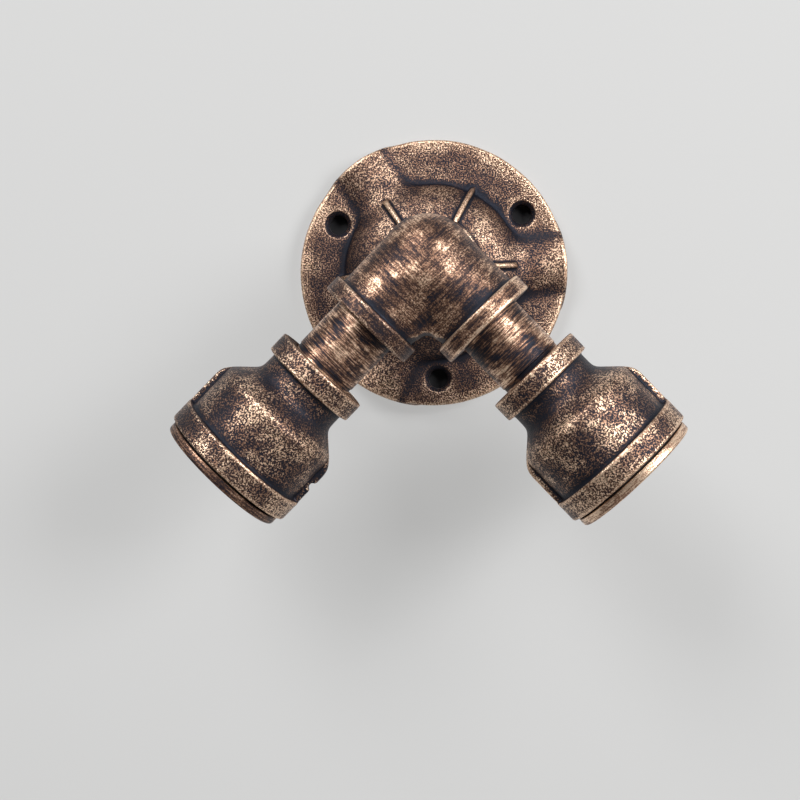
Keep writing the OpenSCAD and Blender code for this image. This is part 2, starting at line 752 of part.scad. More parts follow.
// Springy tongue that meets the bulb's end contact; it bends about its rolled root
module centre_tongue(side) {
    tip_a = tongue_root_a + tongue_rise;
    root_x = -tongue_root_x;
    color(brass) on_arm(side) {
        translate([root_x, 0, tongue_root_a]) rotate([90, 0, 0])
            cylinder(d = tongue_root_d, h = tongue_w, center = true);
        rotate([90, 0, 0]) linear_extrude(tongue_w, center = true) polygon([
            [root_x, tongue_root_a - tongue_t / 2], [-pad_d / 2, tip_a - tongue_t],
            [pad_d / 2, tip_a - tongue_t], [pad_d / 2, tip_a], [-pad_d / 2, tip_a],
            [root_x, tongue_root_a + tongue_t / 2]]);
        translate([0, 0, tip_a - eps]) cylinder(r1 = pad_d / 2 - 0.1, r2 = pad_d / 2 - 0.7, h = pad_h);
    }
}

// Lead from a terminal screw, down the arm and round to the sleeve in the elbow
module arm_lead(side, way, angle) {
    x = way * lead_d;
    end = [lead_spread * cos(angle), sleeve_stop - standoff + face_gap, lead_spread * sin(angle)];
    end_room = [0, sleeve_stop, 0];
    from_terminal = [
        [way * (terminal_x + 0.6), -way * terminal_lead_y, terminal_lead_a],
        [way * (terminal_x - 1.5), -way * terminal_lead_y, terminal_lead_a],
        [way * 3.2, -way * 2.6, terminal_lead_a - 2.6],
        [x, 0, terminal_lead_a - 8],
        [x, 0, port_l],
        [x * 0.9, 0, 9]];
    down_arm = [for (p = from_terminal) arm_point(p)];
    into_sleeve = [end - end_room + [0, 2.6, 0], end - [0, 3.2, 0], end - [0, 0.3, 0]];
    mirror([side == LEFT ? 1 : 0, 0, 0])
        lead(cut_corners(concat(down_arm, into_sleeve), 2), arm_point([1, 0, 0]) - arm_point([0, 0, 0]));
}

module live_lead(side) {
    color([0.45, 0.25, 0.13]) arm_lead(side, -1, live_angle);
}

module neutral_lead(side) {
    color([0.16, 0.3, 0.6]) arm_lead(side, 1, neutral_angle);
}

wall_flange();
rear_nipple();
rear_bush();
lead_sleeve();
color([0.45, 0.25, 0.13]) rear_leads(RIGHT);  // rear_live_leads
color([0.16, 0.3, 0.6]) rear_leads(LEFT);  // rear_neutral_leads
terminal_block();
terminal_barrels();
terminal_clamp_screws();
terminal_block_screw();
earth_screw();
earth_washer();
elbow();
arm_nipple(LEFT);  // left_arm_nipple
arm_nipple(RIGHT);  // right_arm_nipple
reducer(LEFT);  // left_reducer
reducer(RIGHT);  // right_reducer
ring_washer(LEFT);  // left_ring_washer
ring_washer(RIGHT);  // right_ring_washer
end_ring(LEFT);  // left_end_ring
end_ring(RIGHT);  // right_end_ring
porcelain(LEFT);  // left_porcelain
porcelain(RIGHT);  // right_porcelain
screw_shell(LEFT);  // left_screw_shell
screw_shell(RIGHT);  // right_screw_shell
shell_strap(LEFT);  // left_shell_strap
shell_strap(RIGHT);  // right_shell_strap
centre_strap(LEFT);  // left_centre_strap
centre_strap(RIGHT);  // right_centre_strap
strap_screws(LEFT);  // left_strap_screws
strap_screws(RIGHT);  // right_strap_screws
centre_tongue(LEFT);  // left_centre_tongue
centre_tongue(RIGHT);  // right_centre_tongue
live_lead(LEFT);  // left_live_lead
live_lead(RIGHT);  // right_live_lead
neutral_lead(LEFT);  // left_neutral_lead
neutral_lead(RIGHT);  // right_neutral_lead
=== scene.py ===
"""Fine shapes, finishes and studio for a wall lamp built from half-inch pipe fittings.

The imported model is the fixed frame. Castings are grown from distance formulas in Geometry Nodes, turned
pieces are lathed, and the small hardware is a softened copy of the frame's own. Every local frame is in
millimetres, and its matrix places it in the lamp's frame, which is in metres.
"""
import json
import logging
import math
from collections.abc import Callable, Iterator, Sequence
from contextlib import contextmanager
from dataclasses import dataclass
from enum import Enum

import bmesh
import bpy
import numpy as np
from mathutils import Matrix, Vector


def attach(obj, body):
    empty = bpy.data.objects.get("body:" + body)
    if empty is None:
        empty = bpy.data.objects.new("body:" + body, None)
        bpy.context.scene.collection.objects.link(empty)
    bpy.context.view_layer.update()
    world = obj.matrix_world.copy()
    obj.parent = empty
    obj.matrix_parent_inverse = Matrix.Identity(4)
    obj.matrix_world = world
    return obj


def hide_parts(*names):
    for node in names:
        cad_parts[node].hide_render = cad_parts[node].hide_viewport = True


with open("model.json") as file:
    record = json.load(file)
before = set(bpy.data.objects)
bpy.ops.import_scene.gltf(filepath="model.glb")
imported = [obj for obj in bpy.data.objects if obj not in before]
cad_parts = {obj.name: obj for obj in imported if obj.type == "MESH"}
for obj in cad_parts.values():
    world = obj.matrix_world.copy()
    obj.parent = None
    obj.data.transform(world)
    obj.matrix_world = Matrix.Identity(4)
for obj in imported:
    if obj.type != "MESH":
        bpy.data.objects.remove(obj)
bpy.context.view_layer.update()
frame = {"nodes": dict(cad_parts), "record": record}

LOG = logging.getLogger("wall_lamp")
MM = 0.001
DIAGONAL = 0.707
Colour = tuple[float, float, float]
Point = tuple[float, float, float]
Outline = list[tuple[float, float]]
BLACK: Colour = (0.0, 0.0, 0.0)


class Side(Enum):
    """One of the lamp's two arms, with the sign of its X direction."""

    LEFT = -1
    RIGHT = 1

    @property
    def word(self) -> str:
        """Prefix of the names of this side's pieces."""
        return self.name.lower()


class Wire:
    """Value of a node socket, on which Python's operators add Math nodes."""

    def __init__(self, net: "NodeNet", socket: bpy.types.NodeSocket) -> None:
        """Keep the socket and the net that owns it."""
        self.net = net
        self.socket = socket

    def __add__(self, other: "Wire | float") -> "Wire":
        """Sum."""
        return self.net.math("ADD", self, other)

    __radd__ = __add__

    def __sub__(self, other: "Wire | float") -> "Wire":
        """Difference."""
        return self.net.math("SUBTRACT", self, other)

    def __rsub__(self, other: float) -> "Wire":
        """Difference from a number."""
        return self.net.math("SUBTRACT", other, self)

    def __mul__(self, other: "Wire | float") -> "Wire":
        """Product."""
        return self.net.math("MULTIPLY", self, other)

    __rmul__ = __mul__

    def __neg__(self) -> "Wire":
        """Negative."""
        return self.net.math("MULTIPLY", self, -1.0)

    def __abs__(self) -> "Wire":
        """Distance from zero."""
        return self.net.math("ABSOLUTE", self)

    def at_least(self, low: "Wire | float") -> "Wire":
        """The larger of this and low."""
        return self.net.math("MAXIMUM", self, low)

    def at_most(self, high: "Wire | float") -> "Wire":
        """The smaller of this and high."""
        return self.net.math("MINIMUM", self, high)

    def joined(self, other: "Wire", blend: "Wire | float") -> "Wire":
        """Union of two distances with a fillet."""
        return self.net.math("SMOOTH_MIN", self, other, blend)

    def within(self, other: "Wire", blend: float) -> "Wire":
        """Common part of two distances with a rounded edge."""
        return self.net.math("SMOOTH_MAX", self, other, blend)

    def cut_by(self, other: "Wire", blend: float) -> "Wire":
        """What is left of this distance's body when the other's is taken away."""
        return self.within(-other, blend)

    def ramp(self, start: float, end: float) -> "Wire":
        """Smooth step from 0 at start to 1 at end, whichever of them is larger."""
        return self.net.out(self.net.add("ShaderNodeMapRange", {"interpolation_type": "SMOOTHSTEP"}, {
            "Value": self, "From Min": start, "From Max": end}), "Result")


class NodeNet:
    """Node tree with one method that adds any node, and the maths that both kinds of tree share."""

    def __init__(self, tree: bpy.types.NodeTree) -> None:
        """Keep the tree."""
        self.tree = tree

    @staticmethod
    def _socket(sockets: Sequence[bpy.types.NodeSocket], key: str | int) -> bpy.types.NodeSocket:
        """Find one of a node's sockets.

        Args:
            sockets: The node's inputs or outputs.
            key: The socket's number, identifier or name.

        Returns:
            The socket.
        """
        named = (socket for socket in sockets if socket.identifier == key)
        return next(named, None) or sockets[key]

    def fill(self, node: bpy.types.Node, inputs: dict) -> None:
        """Set a node's sockets.

        Args:
            node: The node.
            inputs: Values or wires for them, by number, identifier or name.
        """
        for key, value in inputs.items():
            socket = self._socket(node.inputs, key)
            if isinstance(value, Wire):
                self.tree.links.new(value.socket, socket)
            else:
                socket.default_value = value

    def add(self, kind: str, settings: dict | None = None,
            inputs: dict | None = None) -> bpy.types.Node:
        """Add a node.

        Args:
            kind: The node's type.
            settings: Its properties, set first; "stops" are a colour ramp's places and colours.
            inputs: Values or wires for its sockets, by number, identifier or name.

        Returns:
            The node.
        """
        node = self.tree.nodes.new(kind)
        for key, value in (settings or {}).items():
            if key == "stops":
                self._set_stops(node.color_ramp, value)
            else:
                setattr(node, key, value)
        self.fill(node, inputs or {})
        return node

    @staticmethod
    def _set_stops(ramp: bpy.types.ColorRamp, stops: Sequence[tuple[float, Colour]]) -> None:
        """Give a colour ramp its stops.

        Args:
            ramp: The ramp.
            stops: Each stop's place and colour.
        """
        while len(ramp.elements) < len(stops):
            ramp.elements.new(1.0)
        for element, (place, colour) in zip(ramp.elements, stops):
            element.position = place
            element.color = (*colour, 1.0)

    def out(self, node: bpy.types.Node, key: str | int = 0) -> Wire:
        """Wire from one of a node's outputs."""
        return Wire(self, self._socket(node.outputs, key))

    def math(self, operation: str, *values: Wire | float) -> Wire:
        """Wire with the result of a Math node."""
        return self.out(self.add("ShaderNodeMath", {"operation": operation}, dict(enumerate(values))))

    def vector(self, operation: str, *values: Wire | Point, key: str | int = 0) -> Wire:
        """Wire with one result of a Vector Math node."""
        inputs = dict(enumerate(values))
        return self.out(self.add("ShaderNodeVectorMath", {"operation": operation}, inputs), key)

    def scaled(self, vector: Wire | Point, factor: Wire | float) -> Wire:
        """Vector times a number."""
        inputs = {0: vector, "Scale": factor}
        return self.out(self.add("ShaderNodeVectorMath", {"operation": "SCALE"}, inputs))

    def along(self, vector: Wire, direction: Point) -> Wire:
        """Length of a vector along a direction."""
        return self.vector("DOT_PRODUCT", vector, direction, key="Value")

    def hypot(self, a: Wire, b: Wire) -> Wire:
        """Length of the hypotenuse."""
        return self.math("SQRT", a * a + b * b)

    def noise(self, place: Wire, size: float, detail: float = 2.0, roughness: float = 0.5) -> Wire:
        """Noise from 0 to 1 around lumps of a size.

        Args:
            place: Where it is read.
            size: Size of a lump in the unit of place.
            detail: How many finer layers it has.
            roughness: How strong those layers are.

        Returns:
            The noise.
        """
        return self.out(self.add("ShaderNodeTexNoise", {}, {
            "Vector": place, "Scale": 1.0 / size, "Detail": detail, "Roughness": roughness}))

    def stretched(self, place: Wire, axis: Point, factor: float) -> Wire:
        """Place drawn out along an axis, so that patterns become lines across the axis."""
        return self.vector("ADD", place, self.scaled(axis, self.along(place, axis) * (factor - 1.0)))


class ShapeNet(NodeNet):
    """Geometry Nodes tree with named sizes, which ends in Realize Instances and Set Material."""

    def __init__(self, label: str) -> None:
        """Start a tree that has only its output.

        Args:
            label: The tree's name.
        """
        super().__init__(bpy.data.node_groups.new(label, "GeometryNodeTree"))
        self.tree.interface.new_socket("Geometry", in_out="OUTPUT", socket_type="NodeSocketGeometry")
        self.given = self.tree.nodes.new("NodeGroupInput")
        self.sizes: dict[str, float] = {}

    def size(self, label: str, value: float) -> Wire:
        """Add a named input to the tree.

        Args:
            label: The size's name.
            value: This piece's size.

        Returns:
            The input's wire.
        """
        item = self.tree.interface.new_socket(label, in_out="INPUT", socket_type="NodeSocketFloat")
        self.sizes[item.identifier] = value
        return self.out(self.given, item.identifier)

    def place(self) -> Wire:
        """Position of the point that is being made."""
        return self.out(self.add("GeometryNodeInputPosition"))

    def split(self, vector: Wire) -> tuple[Wire, Wire, Wire]:
        """The three parts of a vector."""
        node = self.add("ShaderNodeSeparateXYZ", {}, {0: vector})
        return self.out(node, 0), self.out(node, 1), self.out(node, 2)

    def lumps(self, size: float) -> Wire:
        """Unevenness of a casting's skin, from -0.5 to 0.5."""
        return self.noise(self.place(), size) - 0.5

    def folded(self, x: Wire, y: Wire, start: float, count: int) -> tuple[Wire, Wire]:
        """Distances along and across the nearest of several spokes.

        Args:
            x: First coordinate.
            y: Second coordinate.
            start: Direction of the first spoke in degrees.
            count: Number of spokes.

        Returns:
            The distance along the spoke and the distance beside it.
        """
        turn = self.math("ARCTAN2", y, x) - math.radians(start)
        near = self.math("WRAP", turn, math.pi / count, -math.pi / count)
        radius = self.hypot(x, y)
        return radius * self.math("COSINE", near), radius * self.math("SINE", near)

    def slab(self, u: Wire, v: Wire, reach: float, half: Wire | float, rounding: float) -> Wire:
        """Distance to a slab with round edges.

        Args:
            u: Coordinate across the slab.
            v: Coordinate through it, from its middle.
            reach: How far it goes in u.
            half: Half its thickness in v.
            rounding: Radius of its edges.

        Returns:
            The distance.
        """
        du = abs(u) - (reach - rounding)
        dv = abs(v) - (half - rounding)
        outside = self.hypot(du.at_least(0.0), dv.at_least(0.0))
        return outside + du.at_least(dv).at_most(0.0) - rounding

    def skin(self, distance: Wire, low: Point, high: Point, voxel: float) -> Wire:
        """Surface where a distance is zero.

        Args:
            distance: Distance from the surface, less than zero inside.
            low: Lowest corner of the box that holds the body.
            high: Highest corner of that box.
            voxel: Size of the cells.

        Returns:
            The surface's mesh.
        """
        counts = {f"Resolution {axis}": int((b - a) / voxel) + 1
                  for axis, a, b in zip("XYZ", low, high)}
        cube = self.add("GeometryNodeVolumeCube", {}, {
            "Density": -distance, "Background": -1.0, "Min": low, "Max": high, **counts})
        return self.out(self.add("GeometryNodeVolumeToMesh", {}, {
            "Volume": self.out(cube), "Threshold": 0.0}))

    def build(self, name: str, shape: Wire, material: bpy.types.Material,
              place: Matrix) -> bpy.types.Object:
        """Run the tree and keep its result as a plain mesh.

        Args:
            name: The piece's name.
            shape: The geometry that the tree makes.
            material: Its finish.
            place: Matrix from the piece's local frame to the lamp's.

        Returns:
            The piece's object.
        """
        realized = self.add("GeometryNodeRealizeInstances", {}, {0: shape})
        dressed = self.add("GeometryNodeSetMaterial", {}, {
            "Geometry": self.out(realized), "Material": material})
        self.add("NodeGroupOutput", {}, {0: self.out(dressed)})
        piece = linked(name, bpy.data.meshes.new(name))
        modifier = piece.modifiers.new("shape", "NODES")
        modifier.node_group = self.tree
        for identifier, value in self.sizes.items():
            modifier[identifier] = value
        mesh = applied(piece, modifier)
        mesh.name = name
        mesh.transform(place)
        return piece


def linked(name: str, data: bpy.types.ID) -> bpy.types.Object:
    """Make an object of some data and put it in the scene.

    Args:
        name: The object's name.
        data: Its mesh, lamp or camera.

    Returns:
        The object.
    """
    thing = bpy.data.objects.new(name, data)
    bpy.context.collection.objects.link(thing)
    return thing


def applied(piece: bpy.types.Object, modifier: bpy.types.Modifier) -> bpy.types.Mesh:
    """Turn a piece's only modifier into a plain, smooth mesh.

    Args:
        piece: The piece.
        modifier: Its modifier, which is removed.

    Returns:
        The piece's new mesh.
    """
    graph = bpy.context.evaluated_depsgraph_get()
    mesh = bpy.data.meshes.new_from_object(piece.evaluated_get(graph), depsgraph=graph)
    piece.modifiers.remove(modifier)
    mesh.shade_smooth()
    piece.data = mesh
    return mesh


def point_values(mesh: bpy.types.Mesh, field: str) -> np.ndarray:
    """Read a vector of each of a mesh's points, such as its place or its normal.

    Args:
        mesh: The mesh.
        field: The vector's name.

    Returns:
        One row for each point.
    """
    values = np.empty(len(mesh.vertices) * 3)
    mesh.vertices.foreach_get(field, values)
    return values.reshape(-1, 3)


def store_values(mesh: bpy.types.Mesh, name: str, values: np.ndarray) -> None:
    """Store one number for each point of a mesh as an attribute."""
    mesh.attributes.new(name, "FLOAT", "POINT").data.foreach_set("value", values.astype(np.float32))


def measure_bulge(mesh: bpy.types.Mesh, spans: dict[str, float]) -> None:
    """Store how far each point stands proud of its surroundings, as one attribute for each span.

    Args:
        mesh: A mesh with faces of about one size.
        spans: Attribute names with the width in metres over which the surface is averaged.
    """
    points, normals = point_values(mesh, "co"), point_values(mesh, "normal")
    count = len(points)
    ends = np.empty(len(mesh.edges) * 2, dtype=np.int64)
    mesh.edges.foreach_get("vertices", ends)
    first, second = ends.reshape(-1, 2).T
    step = float(np.mean(np.linalg.norm(points[first] - points[second], axis=1)))
    degree = np.bincount(first, minlength=count) + np.bincount(second, minlength=count)
    share = 0.5 / np.maximum(degree, 1)
    averaged = points.copy()
    done = 0
    for name, span in sorted(spans.items(), key=lambda item: item[1]):
        passes = max(2, round(4 * (span / step) ** 2))
        for _ in range(passes - done):
            total = [np.bincount(first, column[second], count)
                     + np.bincount(second, column[first], count) for column in averaged.T]
            averaged = 0.5 * averaged + np.stack(total, axis=1) * share[:, None]
        done = max(done, passes)
        store_values(mesh, name, np.einsum("ij,ij->i", points - averaged, normals) / span)


def store_soot(mesh: bpy.types.Mesh, amount: Callable[[np.ndarray], np.ndarray]) -> None:
    """Store painted shade for each point, and a painted highlight where it is below 0.

    Args:
        mesh: The mesh.
        amount: Gives painted shade for places in millimetres, from 1 for black to below 0 for a painted
            highlight.
    """
    store_values(mesh, "soot", np.clip(amount(point_values(mesh, "co") / MM), -0.6, 1.0))


def rising(values: np.ndarray, start: float, end: float) -> np.ndarray:
    """Straight step from 0 at start to 1 at end, whichever of them is larger."""
    return np.clip((values - start) / (end - start), 0.0, 1.0)


def stripe(values: np.ndarray, middle: float, width: float) -> np.ndarray:
    """Soft stripe that is 1 at its middle and fades within about its width."""
    return np.exp(-(((values - middle) / width) ** 2))


FINE_SPAN = {"fine_bulge": 0.7 * MM}
CAST_SPANS = {**FINE_SPAN, "broad_bulge": 2.6 * MM}


class ShaderNet(NodeNet):
    """Node tree of a material with one Principled shader."""

    def __init__(self, name: str) -> None:
        """Start a material whose shader is wired to its output.

        Args:
            name: The material's name.
        """
        self.material = bpy.data.materials.new(name)
        self.material.use_nodes = True
        super().__init__(self.material.node_tree)
        self.tree.nodes.clear()
        self.shader = self.add("ShaderNodeBsdfPrincipled")
        self.end = self.add("ShaderNodeOutputMaterial", {}, {"Surface": self.out(self.shader)})

    def place(self) -> Wire:
        """Place on the object in millimetres."""
        return self.scaled(self.out(self.add("ShaderNodeTexCoord"), "Object"), 1.0 / MM)

    def measured(self, name: str) -> Wire:
        """Value of a mesh attribute."""
        return self.out(self.add("ShaderNodeAttribute", {"attribute_name": name}), "Fac")

    def tinted(self, value: Wire, stops: Sequence[tuple[float, Colour]]) -> Wire:
        """Colour of a value on a ramp."""
        return self.out(self.add("ShaderNodeValToRGB", {"stops": stops}, {0: value}), "Color")

    def mixed(self, factor: Wire, low: Colour | Wire, high: Colour | Wire) -> Wire:
        """Colour between two colours.

        Args:
            factor: 0 for the first colour and 1 for the second.
            low: The first colour.
            high: The second colour.

        Returns:
            The colour.
        """
        inputs: dict = {"Factor_Float": factor}
        for key, colour in (("A_Color", low), ("B_Color", high)):
            inputs[key] = colour if isinstance(colour, Wire) else (*colour, 1.0)
        return self.out(self.add("ShaderNodeMix", {"data_type": "RGBA"}, inputs), "Result_Color")

    def dented(self, height: Wire, depth_mm: float) -> Wire:
        """Normal of a surface with a relief of a given depth."""
        return self.out(self.add("ShaderNodeBump", {}, {
            "Strength": 1.0, "Distance": depth_mm * MM, "Height": height}))

    def dress(self, inputs: dict[str, Wire | float | tuple]) -> bpy.types.Material:
        """Set the shader's sockets and return the material."""
        self.fill(self.shader, inputs)
        return self.material


@dataclass(frozen=True)
class AntiqueBronze:
    """Cast or drawn bronze under a dark patina, rubbed back to copper where it stands proud.

    Its brightness starts at base. Fine grains, broad patches and brush streaks change it by the amounts
    of the same names, and raised edges are rubbed brighter. Crests are lighter, partly as wear and partly
    as a painted highlight; creases are darker, partly as patina and partly as painted shade; and the soot
    attribute's painted shade darkens it towards slate blue, while below 0 it is a painted highlight.
    """

    name: str
    base: float = 0.2
    grain: float = 0.5
    grain_mm: float = 0.5
    fleck_ramp: tuple[float, float] = (0.46, 0.6)
    patch: float = 0.3
    patch_mm: float = 9.0
    patch_ramp: tuple[float, float] = (0.36, 0.66)
    streak: float = 0.0
    streak_axis: Point | None = None
    streak_mm: float = 6.0
    streak_ratio: float = 14.0
    streak_ramp: tuple[float, float] = (0.38, 0.64)
    streak_seam_mm: float = 6.0
    # Crest lightening is partly rubbed wear and partly a painted highlight.
    crest_ramp: tuple[float, float] = (0.02, 0.12)
    crest_gain: float = 0.16
    edge_ramp: tuple[float, float] = (0.05, 0.2)
    edge_gain: float = 0.5
    edge_least: float = 0.18
    # Crease darkening is partly patina and partly painted shade.
    fine_crease_ramp: tuple[float, float] = (-0.02, -0.18)
    broad_crease_ramp: tuple[float, float] = (-0.05, -0.28)
    crease_loss: float = 0.32
    relief_mm: float = 0.2
    # Darkest patina colour, which is also the colour of painted shade.
    soot: Colour = (0.01, 0.012, 0.021)
    umber: Colour = (0.066, 0.036, 0.027)
    copper: Colour = (0.32, 0.178, 0.115)
    peach: Colour = (0.92, 0.68, 0.49)
    # Slate blue painted shade and reflection, mixed in where the soot attribute is high.
    slate: Colour = (0.014, 0.016, 0.025)

    def material(self) -> bpy.types.Material:
        """Build the material.

        Returns:
            The material.
        """
        net = ShaderNet(self.name)
        place = net.place()
        grains = net.noise(place, self.grain_mm, 3.0, 0.62)
        patches = net.noise(place, self.patch_mm, 3.0, 0.6).ramp(*self.patch_ramp) - 0.5
        fleck = grains.ramp(*self.fleck_ramp) * (1.0 + patches * self.patch * 1.6)
        lines = self._lines(net, place)
        streaks = lines.ramp(*self.streak_ramp) - 0.5
        fine, broad = net.measured("fine_bulge"), net.measured("broad_bulge")
        # Crests are lightened partly as rubbed wear and partly as a painted highlight.
        crest = broad.ramp(*self.crest_ramp)
        edge = fine.ramp(*self.edge_ramp)
        # Creases are darkened partly as patina and partly as painted shade.
        crease = fine.ramp(*self.fine_crease_ramp).at_least(broad.ramp(*self.broad_crease_ramp))
        crease = crease * (1.3 - grains * 0.7)
        worn_and_lit_tone = (self.base + fleck * self.grain * (1.0 - crease * 0.6)
                  + patches * self.patch + streaks * self.streak + crest * self.crest_gain
                  + edge * (self.edge_least + grains * self.edge_gain) - crease * self.crease_loss)
        # Painted shade from the soot attribute darkens the tone and turns it slate blue; below 0 it is a
        # painted highlight.
        soot = net.measured("soot")
        tone = (worn_and_lit_tone * (1.0 - soot * (0.85 - fleck * 0.3))).at_least(0.0).at_most(1.0)
        metal = net.tinted(tone, (
            (0.0, self.soot), (0.3, self.umber), (0.62, self.copper), (1.0, self.peach)))
        return net.dress({
            "Base Color": net.mixed(soot.at_least(0.0) * (1.0 - fleck * 0.7), metal, self.slate),
            "Metallic": tone * 0.3 + 0.62,
            "Roughness": 0.5 - tone * 0.16,
            "Specular IOR Level": 0.35,
            "Normal": net.dented(grains + lines * self.streak, self.relief_mm)})

    def _lines(self, net: ShaderNet, place: Wire) -> Wire:
        """Brush lines round the streaks' axis or, without one, round each arm on its own side.

        Args:
            net: The material's tree.
            place: Place on the object.

        Returns:
            The lines' noise.
        """
        if self.streak_axis is not None:
            return self._drawn(net, place, self.streak_axis)
        left, right = (self._drawn(net, place, tuple(arm_axis(side))) for side in Side)
        sideways = net.along(place, (1.0, 0.0, 0.0))
        return left + (right - left) * sideways.ramp(-self.streak_seam_mm, self.streak_seam_mm)

    def _drawn(self, net: ShaderNet, place: Wire, axis: Point) -> Wire:
        """Noise drawn out into lines round an axis."""
        return net.noise(net.stretched(place, axis, self.streak_ratio), self.streak_mm, 4.0, 0.65)


@dataclass(frozen=True)
class WornMetal:
    """Turned or pressed metal with fine tool lines and a little tarnish."""

    name: str
    clean: Colour
    tarnish: Colour
    line_axis: Point = (0.0, 0.0, 1.0)
    line_mm: float = 3.0
    line_ratio: float = 20.0
    line_depth_mm: float = 0.02
    gloss: float = 0.28
    stain_mm: float = 2.4
    stain_ramp: tuple[float, float] = (0.42, 0.72)
    tarnish_share: float = 0.5

    def material(self) -> bpy.types.Material:
        """Build the material.

        Returns:
            The material.
        """
        net = ShaderNet(self.name)
        place = net.place()
        lines = net.noise(net.stretched(place, self.line_axis, self.line_ratio), self.line_mm, 3.0, 0.6)
        stain = net.noise(place, self.stain_mm, 4.0, 0.62).ramp(*self.stain_ramp) * self.tarnish_share
        return net.dress({
            "Base Color": net.mixed(stain, self.clean, self.tarnish),
            "Metallic": 1.0 - stain * 0.35,
            "Roughness": self.gloss + stain * 0.3 + lines * 0.1,
            "Normal": net.dented(lines, self.line_depth_mm)})


@dataclass(frozen=True)
class MouldedPlastic:
    """Moulded or extruded plastic with a faint cloudiness and a fine skin."""

    name: str
    body: Colour
    cloud: Colour
    roughness: float = 0.42
    cloud_mm: float = 3.5
    cloud_ramp: tuple[float, float] = (0.38, 0.68)
    skin_mm: float = 0.35
    relief_mm: float = 0.012

    def material(self) -> bpy.types.Material:
        """Build the material.

        Returns:
            The material.
        """
        net = ShaderNet(self.name)
        place = net.place()
        skin = net.noise(place, self.skin_mm, 3.0, 0.6)
        cloud = net.noise(place, self.cloud_mm, 3.0, 0.55).ramp(*self.cloud_ramp)
        return net.dress({
            "Base Color": net.mixed(cloud, self.body, self.cloud),
            "Roughness": self.roughness + (skin - 0.5) * 0.16,
            "Normal": net.dented(skin, self.relief_mm)})


@dataclass(frozen=True)
class GlazedPorcelain:
    """White electrical porcelain under a clear glaze with a few iron specks."""

    name: str
    body: Colour = (0.78, 0.76, 0.7)
    cloud: Colour = (0.7, 0.69, 0.64)
    cloud_ramp: tuple[float, float] = (0.3, 0.75)
    cloud_share: float = 0.35
    speck: Colour = (0.3, 0.2, 0.12)
    speck_mm: float = 0.5
    speck_ramp: tuple[float, float] = (0.76, 0.84)
    ripple_mm: float = 2.6
    ripple_depth_mm: float = 0.03
    glaze: float = 0.6
    glaze_roughness: float = 0.08

    def material(self) -> bpy.types.Material:
        """Build the material.

        Returns:
            The material.
        """
        net = ShaderNet(self.name)
        place = net.place()
        specks = net.noise(place, self.speck_mm, 1.0, 0.4).ramp(*self.speck_ramp) * 0.5
        ripple = net.noise(place, self.ripple_mm, 2.0, 0.5)
        shade = net.mixed(ripple.ramp(*self.cloud_ramp) * self.cloud_share, self.body, self.cloud)
        return net.dress({
            "Base Color": net.mixed(specks, shade, self.speck),
            "Roughness": 0.22 + ripple * 0.12,
            "Coat Weight": self.glaze,
            "Coat Roughness": self.glaze_roughness,
            "Normal": net.dented(ripple, self.ripple_depth_mm)})


@dataclass(frozen=True)
class BraidedGlass:
    """Varnished glass-fibre yarn."""

    name: str
    yarn: Colour = (0.74, 0.7, 0.58)
    shade: Colour = (0.42, 0.37, 0.27)
    fibre_mm: float = 0.25
    fibre_ratio: float = 0.25
    fibre_ramp: tuple[float, float] = (0.35, 0.68)
    fibre_depth_mm: float = 0.05

    def material(self) -> bpy.types.Material:
        """Build the material.

        Returns:
            The material.
        """
        net = ShaderNet(self.name)
        place = net.stretched(net.place(), (0.0, 1.0, 0.0), self.fibre_ratio)
        fibres = net.noise(place, self.fibre_mm, 3.0, 0.65)
        return net.dress({
            "Base Color": net.mixed(fibres.ramp(*self.fibre_ramp), self.shade, self.yarn),
            "Roughness": 0.66 - fibres * 0.12,
            "Normal": net.dented(fibres, self.fibre_depth_mm)})


Finish = AntiqueBronze | WornMetal | MouldedPlastic | GlazedPorcelain | BraidedGlass


def stand_for(piece: bpy.types.Object, node: str) -> bpy.types.Object:
    """Let a piece take a node's place, with its body.

    Args:
        piece: The piece.
        node: The node of the frame that it replaces.

    Returns:
        The piece.
    """
    bodies = frame["record"]["behaviour"]["bodies"]
    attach(piece, next(body for body, nodes in bodies.items() if node in nodes))
    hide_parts(node)
    frame["nodes"][node].data.materials[0].name.split(".")[0]
    return piece


def wall_place() -> Matrix:
    """Matrix of the wall's frame, whose z leaves the wall and whose y is up."""
    return Matrix(((MM, 0, 0, 0), (0, 0, -MM, 0), (0, MM, 0, 0), (0, 0, 0, 1)))


def arm_place(side: Side) -> Matrix:
    """Matrix of an arm's frame, whose z runs from the elbow's centre along the arm.

    Args:
        side: Which arm.

    Returns:
        The matrix, whose y is the lamp's own and whose x points to the lamp's lower left.
    """
    mounts = {mount["name"]: mount for mount in frame["record"]["mounts"]}
    socket = mounts[f"{side.word}_socket"]
    along = Vector(socket["axis"]).normalized()
    back = Vector((0.0, 1.0, 0.0))
    place = Matrix.Identity(4)
    for column, axis in enumerate((back.cross(along), back, along)):
        for row in range(3):
            place[row][column] = axis[row] * MM
    place[1][3] = socket["pos_m"][1]
    return place


def arm_axis(side: Side) -> Vector:
    """Direction of an arm, away from the elbow."""
    return (arm_place(side).to_3x3() @ Vector((0.0, 0.0, 1.0))).normalized()


def arc(centre: tuple[float, float], radius: float, start: float, end: float, steps: int) -> Outline:
    """Points of an arc, with its angles in degrees."""
    turns = [math.radians(start + (end - start) * i / steps) for i in range(steps + 1)]
    return [(centre[0] + radius * math.cos(t), centre[1] + radius * math.sin(t)) for t in turns]


